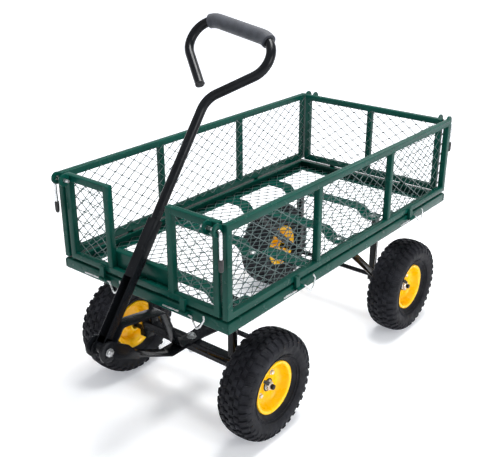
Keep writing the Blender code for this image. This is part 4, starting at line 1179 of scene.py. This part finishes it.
def make_bolts():
    low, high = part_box("kingpin_bolt")
    spot = (low + high) / 2 - Vector((0, BED_Y, 0))
    bm = bmesh.new()
    hex_head(bm, (spot.x, spot.y, high.z - 0.0095), UP, 0.0170, 0.0078, washer=0.0118)
    beam_bottom = low.z + 0.010
    top = high.z - 0.009
    shank = [(low.z, 0.0), (low.z, BOLT_RADIUS), (top, BOLT_RADIUS), (top, 0.0)]
    turn(bm, shank, (spot.x, spot.y, 0), UP, 24)
    hex_head(bm, (spot.x, spot.y, beam_bottom - 0.0004), -UP, 0.0165, 0.0080, washer=0.0098)
    piece("king_bolt", bm, "bed", ZINC, "kingpin_bolt")
    low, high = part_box("clevis_bolt")
    reach = 0.0245 + 0.0003
    bm = bmesh.new()
    start, end = -reach - 0.006, reach + 0.005
    shank = [(start, 0.0), (start, BOLT_RADIUS), (end, BOLT_RADIUS), (end, 0.0)]
    turn(bm, shank, PIVOT, sides=24)
    hex_head(bm, PIVOT + Vector((-reach, 0, 0)), Vector((-1, 0, 0)), 0.0160, 0.0055, washer=0.0094)
    hex_head(bm, PIVOT + Vector((reach, 0, 0)), Vector((1, 0, 0)), 0.0160, 0.0045, washer=0.0094)
    piece("pivot_bolt", bm, "tongue", ZINC, "clevis_bolt")


# ---------------------------------------------------------------- stage


def make_stage():
    bm = bmesh.new()
    for x in (-FLOOR_REACH, FLOOR_REACH):
        for y in (-FLOOR_REACH, FLOOR_REACH):
            bm.verts.new((x, y, 0))
    verts = list(bm.verts)
    bm.faces.new((verts[0], verts[2], verts[3], verts[1]))
    mesh = bpy.data.meshes.new("floor")
    bm.to_mesh(mesh)
    bm.free()
    made = principled("pale_floor", 0.55, specular=0.25)
    vary_colour(made, ((0.3, (0.86, 0.865, 0.87)), (0.7, (0.88, 0.882, 0.885))), 1.2)
    made.node_tree.nodes["Principled BSDF"].inputs["Emission Color"].default_value = (0.89, 0.92, 1.0, 1.0)
    nodes, links = made.node_tree.nodes, made.node_tree.links
    reached = nodes.new("ShaderNodeVectorMath")
    reached.operation = "LENGTH"
    glow = nodes.new("ShaderNodeMapRange")
    glow.inputs["From Min"].default_value = 0.8
    glow.inputs["From Max"].default_value = 3.0
    glow.inputs["To Min"].default_value = FLOOR_GLOW
    glow.inputs["To Max"].default_value = FAR_GLOW
    links.new(nodes["Place"].outputs["Object"], reached.inputs[0])
    links.new(reached.outputs["Value"], glow.inputs["Value"])
    links.new(glow.outputs["Result"], nodes["Principled BSDF"].inputs["Emission Strength"])
    mesh.materials.append(made)
    floor = bpy.data.objects.new("floor", mesh)
    bpy.context.scene.collection.objects.link(floor)

    world = bpy.data.worlds.new("studio")
    world.use_nodes = True
    world.node_tree.nodes["Background"].inputs["Color"].default_value = (1.0, 1.0, 1.0, 1.0)
    nodes, links = world.node_tree.nodes, world.node_tree.links
    direction = nodes.new("ShaderNodeTexCoord")
    height = nodes.new("ShaderNodeSeparateXYZ")
    fade = nodes.new("ShaderNodeMapRange")
    fade.inputs["From Min"].default_value = 0.12
    fade.inputs["From Max"].default_value = 0.32
    fade.inputs["To Min"].default_value = HORIZON_LIGHT
    fade.inputs["To Max"].default_value = WORLD_LIGHT
    links.new(direction.outputs["Generated"], height.inputs["Vector"])
    links.new(height.outputs["Z"], fade.inputs["Value"])
    links.new(fade.outputs["Result"], nodes["Background"].inputs["Strength"])
    bpy.context.scene.world = world
    bpy.context.scene.view_settings.view_transform = "Standard"

    for name, place, size, power in LAMPS:
        lamp = bpy.data.lights.new(name, "AREA")
        lamp.shape = "SQUARE"
        lamp.size = size
        lamp.energy = power
        obj = bpy.data.objects.new(name, lamp)
        obj.location = place
        target = Vector((0, 0, 0.35))
        obj.rotation_euler = (target - Vector(place)).to_track_quat("-Z", "Y").to_euler()
        bpy.context.scene.collection.objects.link(obj)


def make_camera():
    data = bpy.data.cameras.new("camera")
    data.sensor_width = 36.0
    data.lens = 57.02
    camera = bpy.data.objects.new("camera", data)
    camera.location = (1.1532, -1.532 + BED_Y, 1.1757)
    azimuth, elevation = math.radians(38.86), math.radians(23.32)
    camera.rotation_euler = (math.pi / 2 - elevation, 0, azimuth)
    bpy.context.scene.collection.objects.link(camera)
    bpy.context.scene.camera = camera


make_camera()
make_stage()
make_tray()
make_slats()
make_meshes()
make_side_panels()
make_end_panel(1, "rear", "rear_panel")
make_end_panel(-1, "front", "bed")
make_front_plate()
make_latches()
make_hinge_clips()
make_handle()
make_hitch()
make_wheels()
make_underframe()
make_bolts()
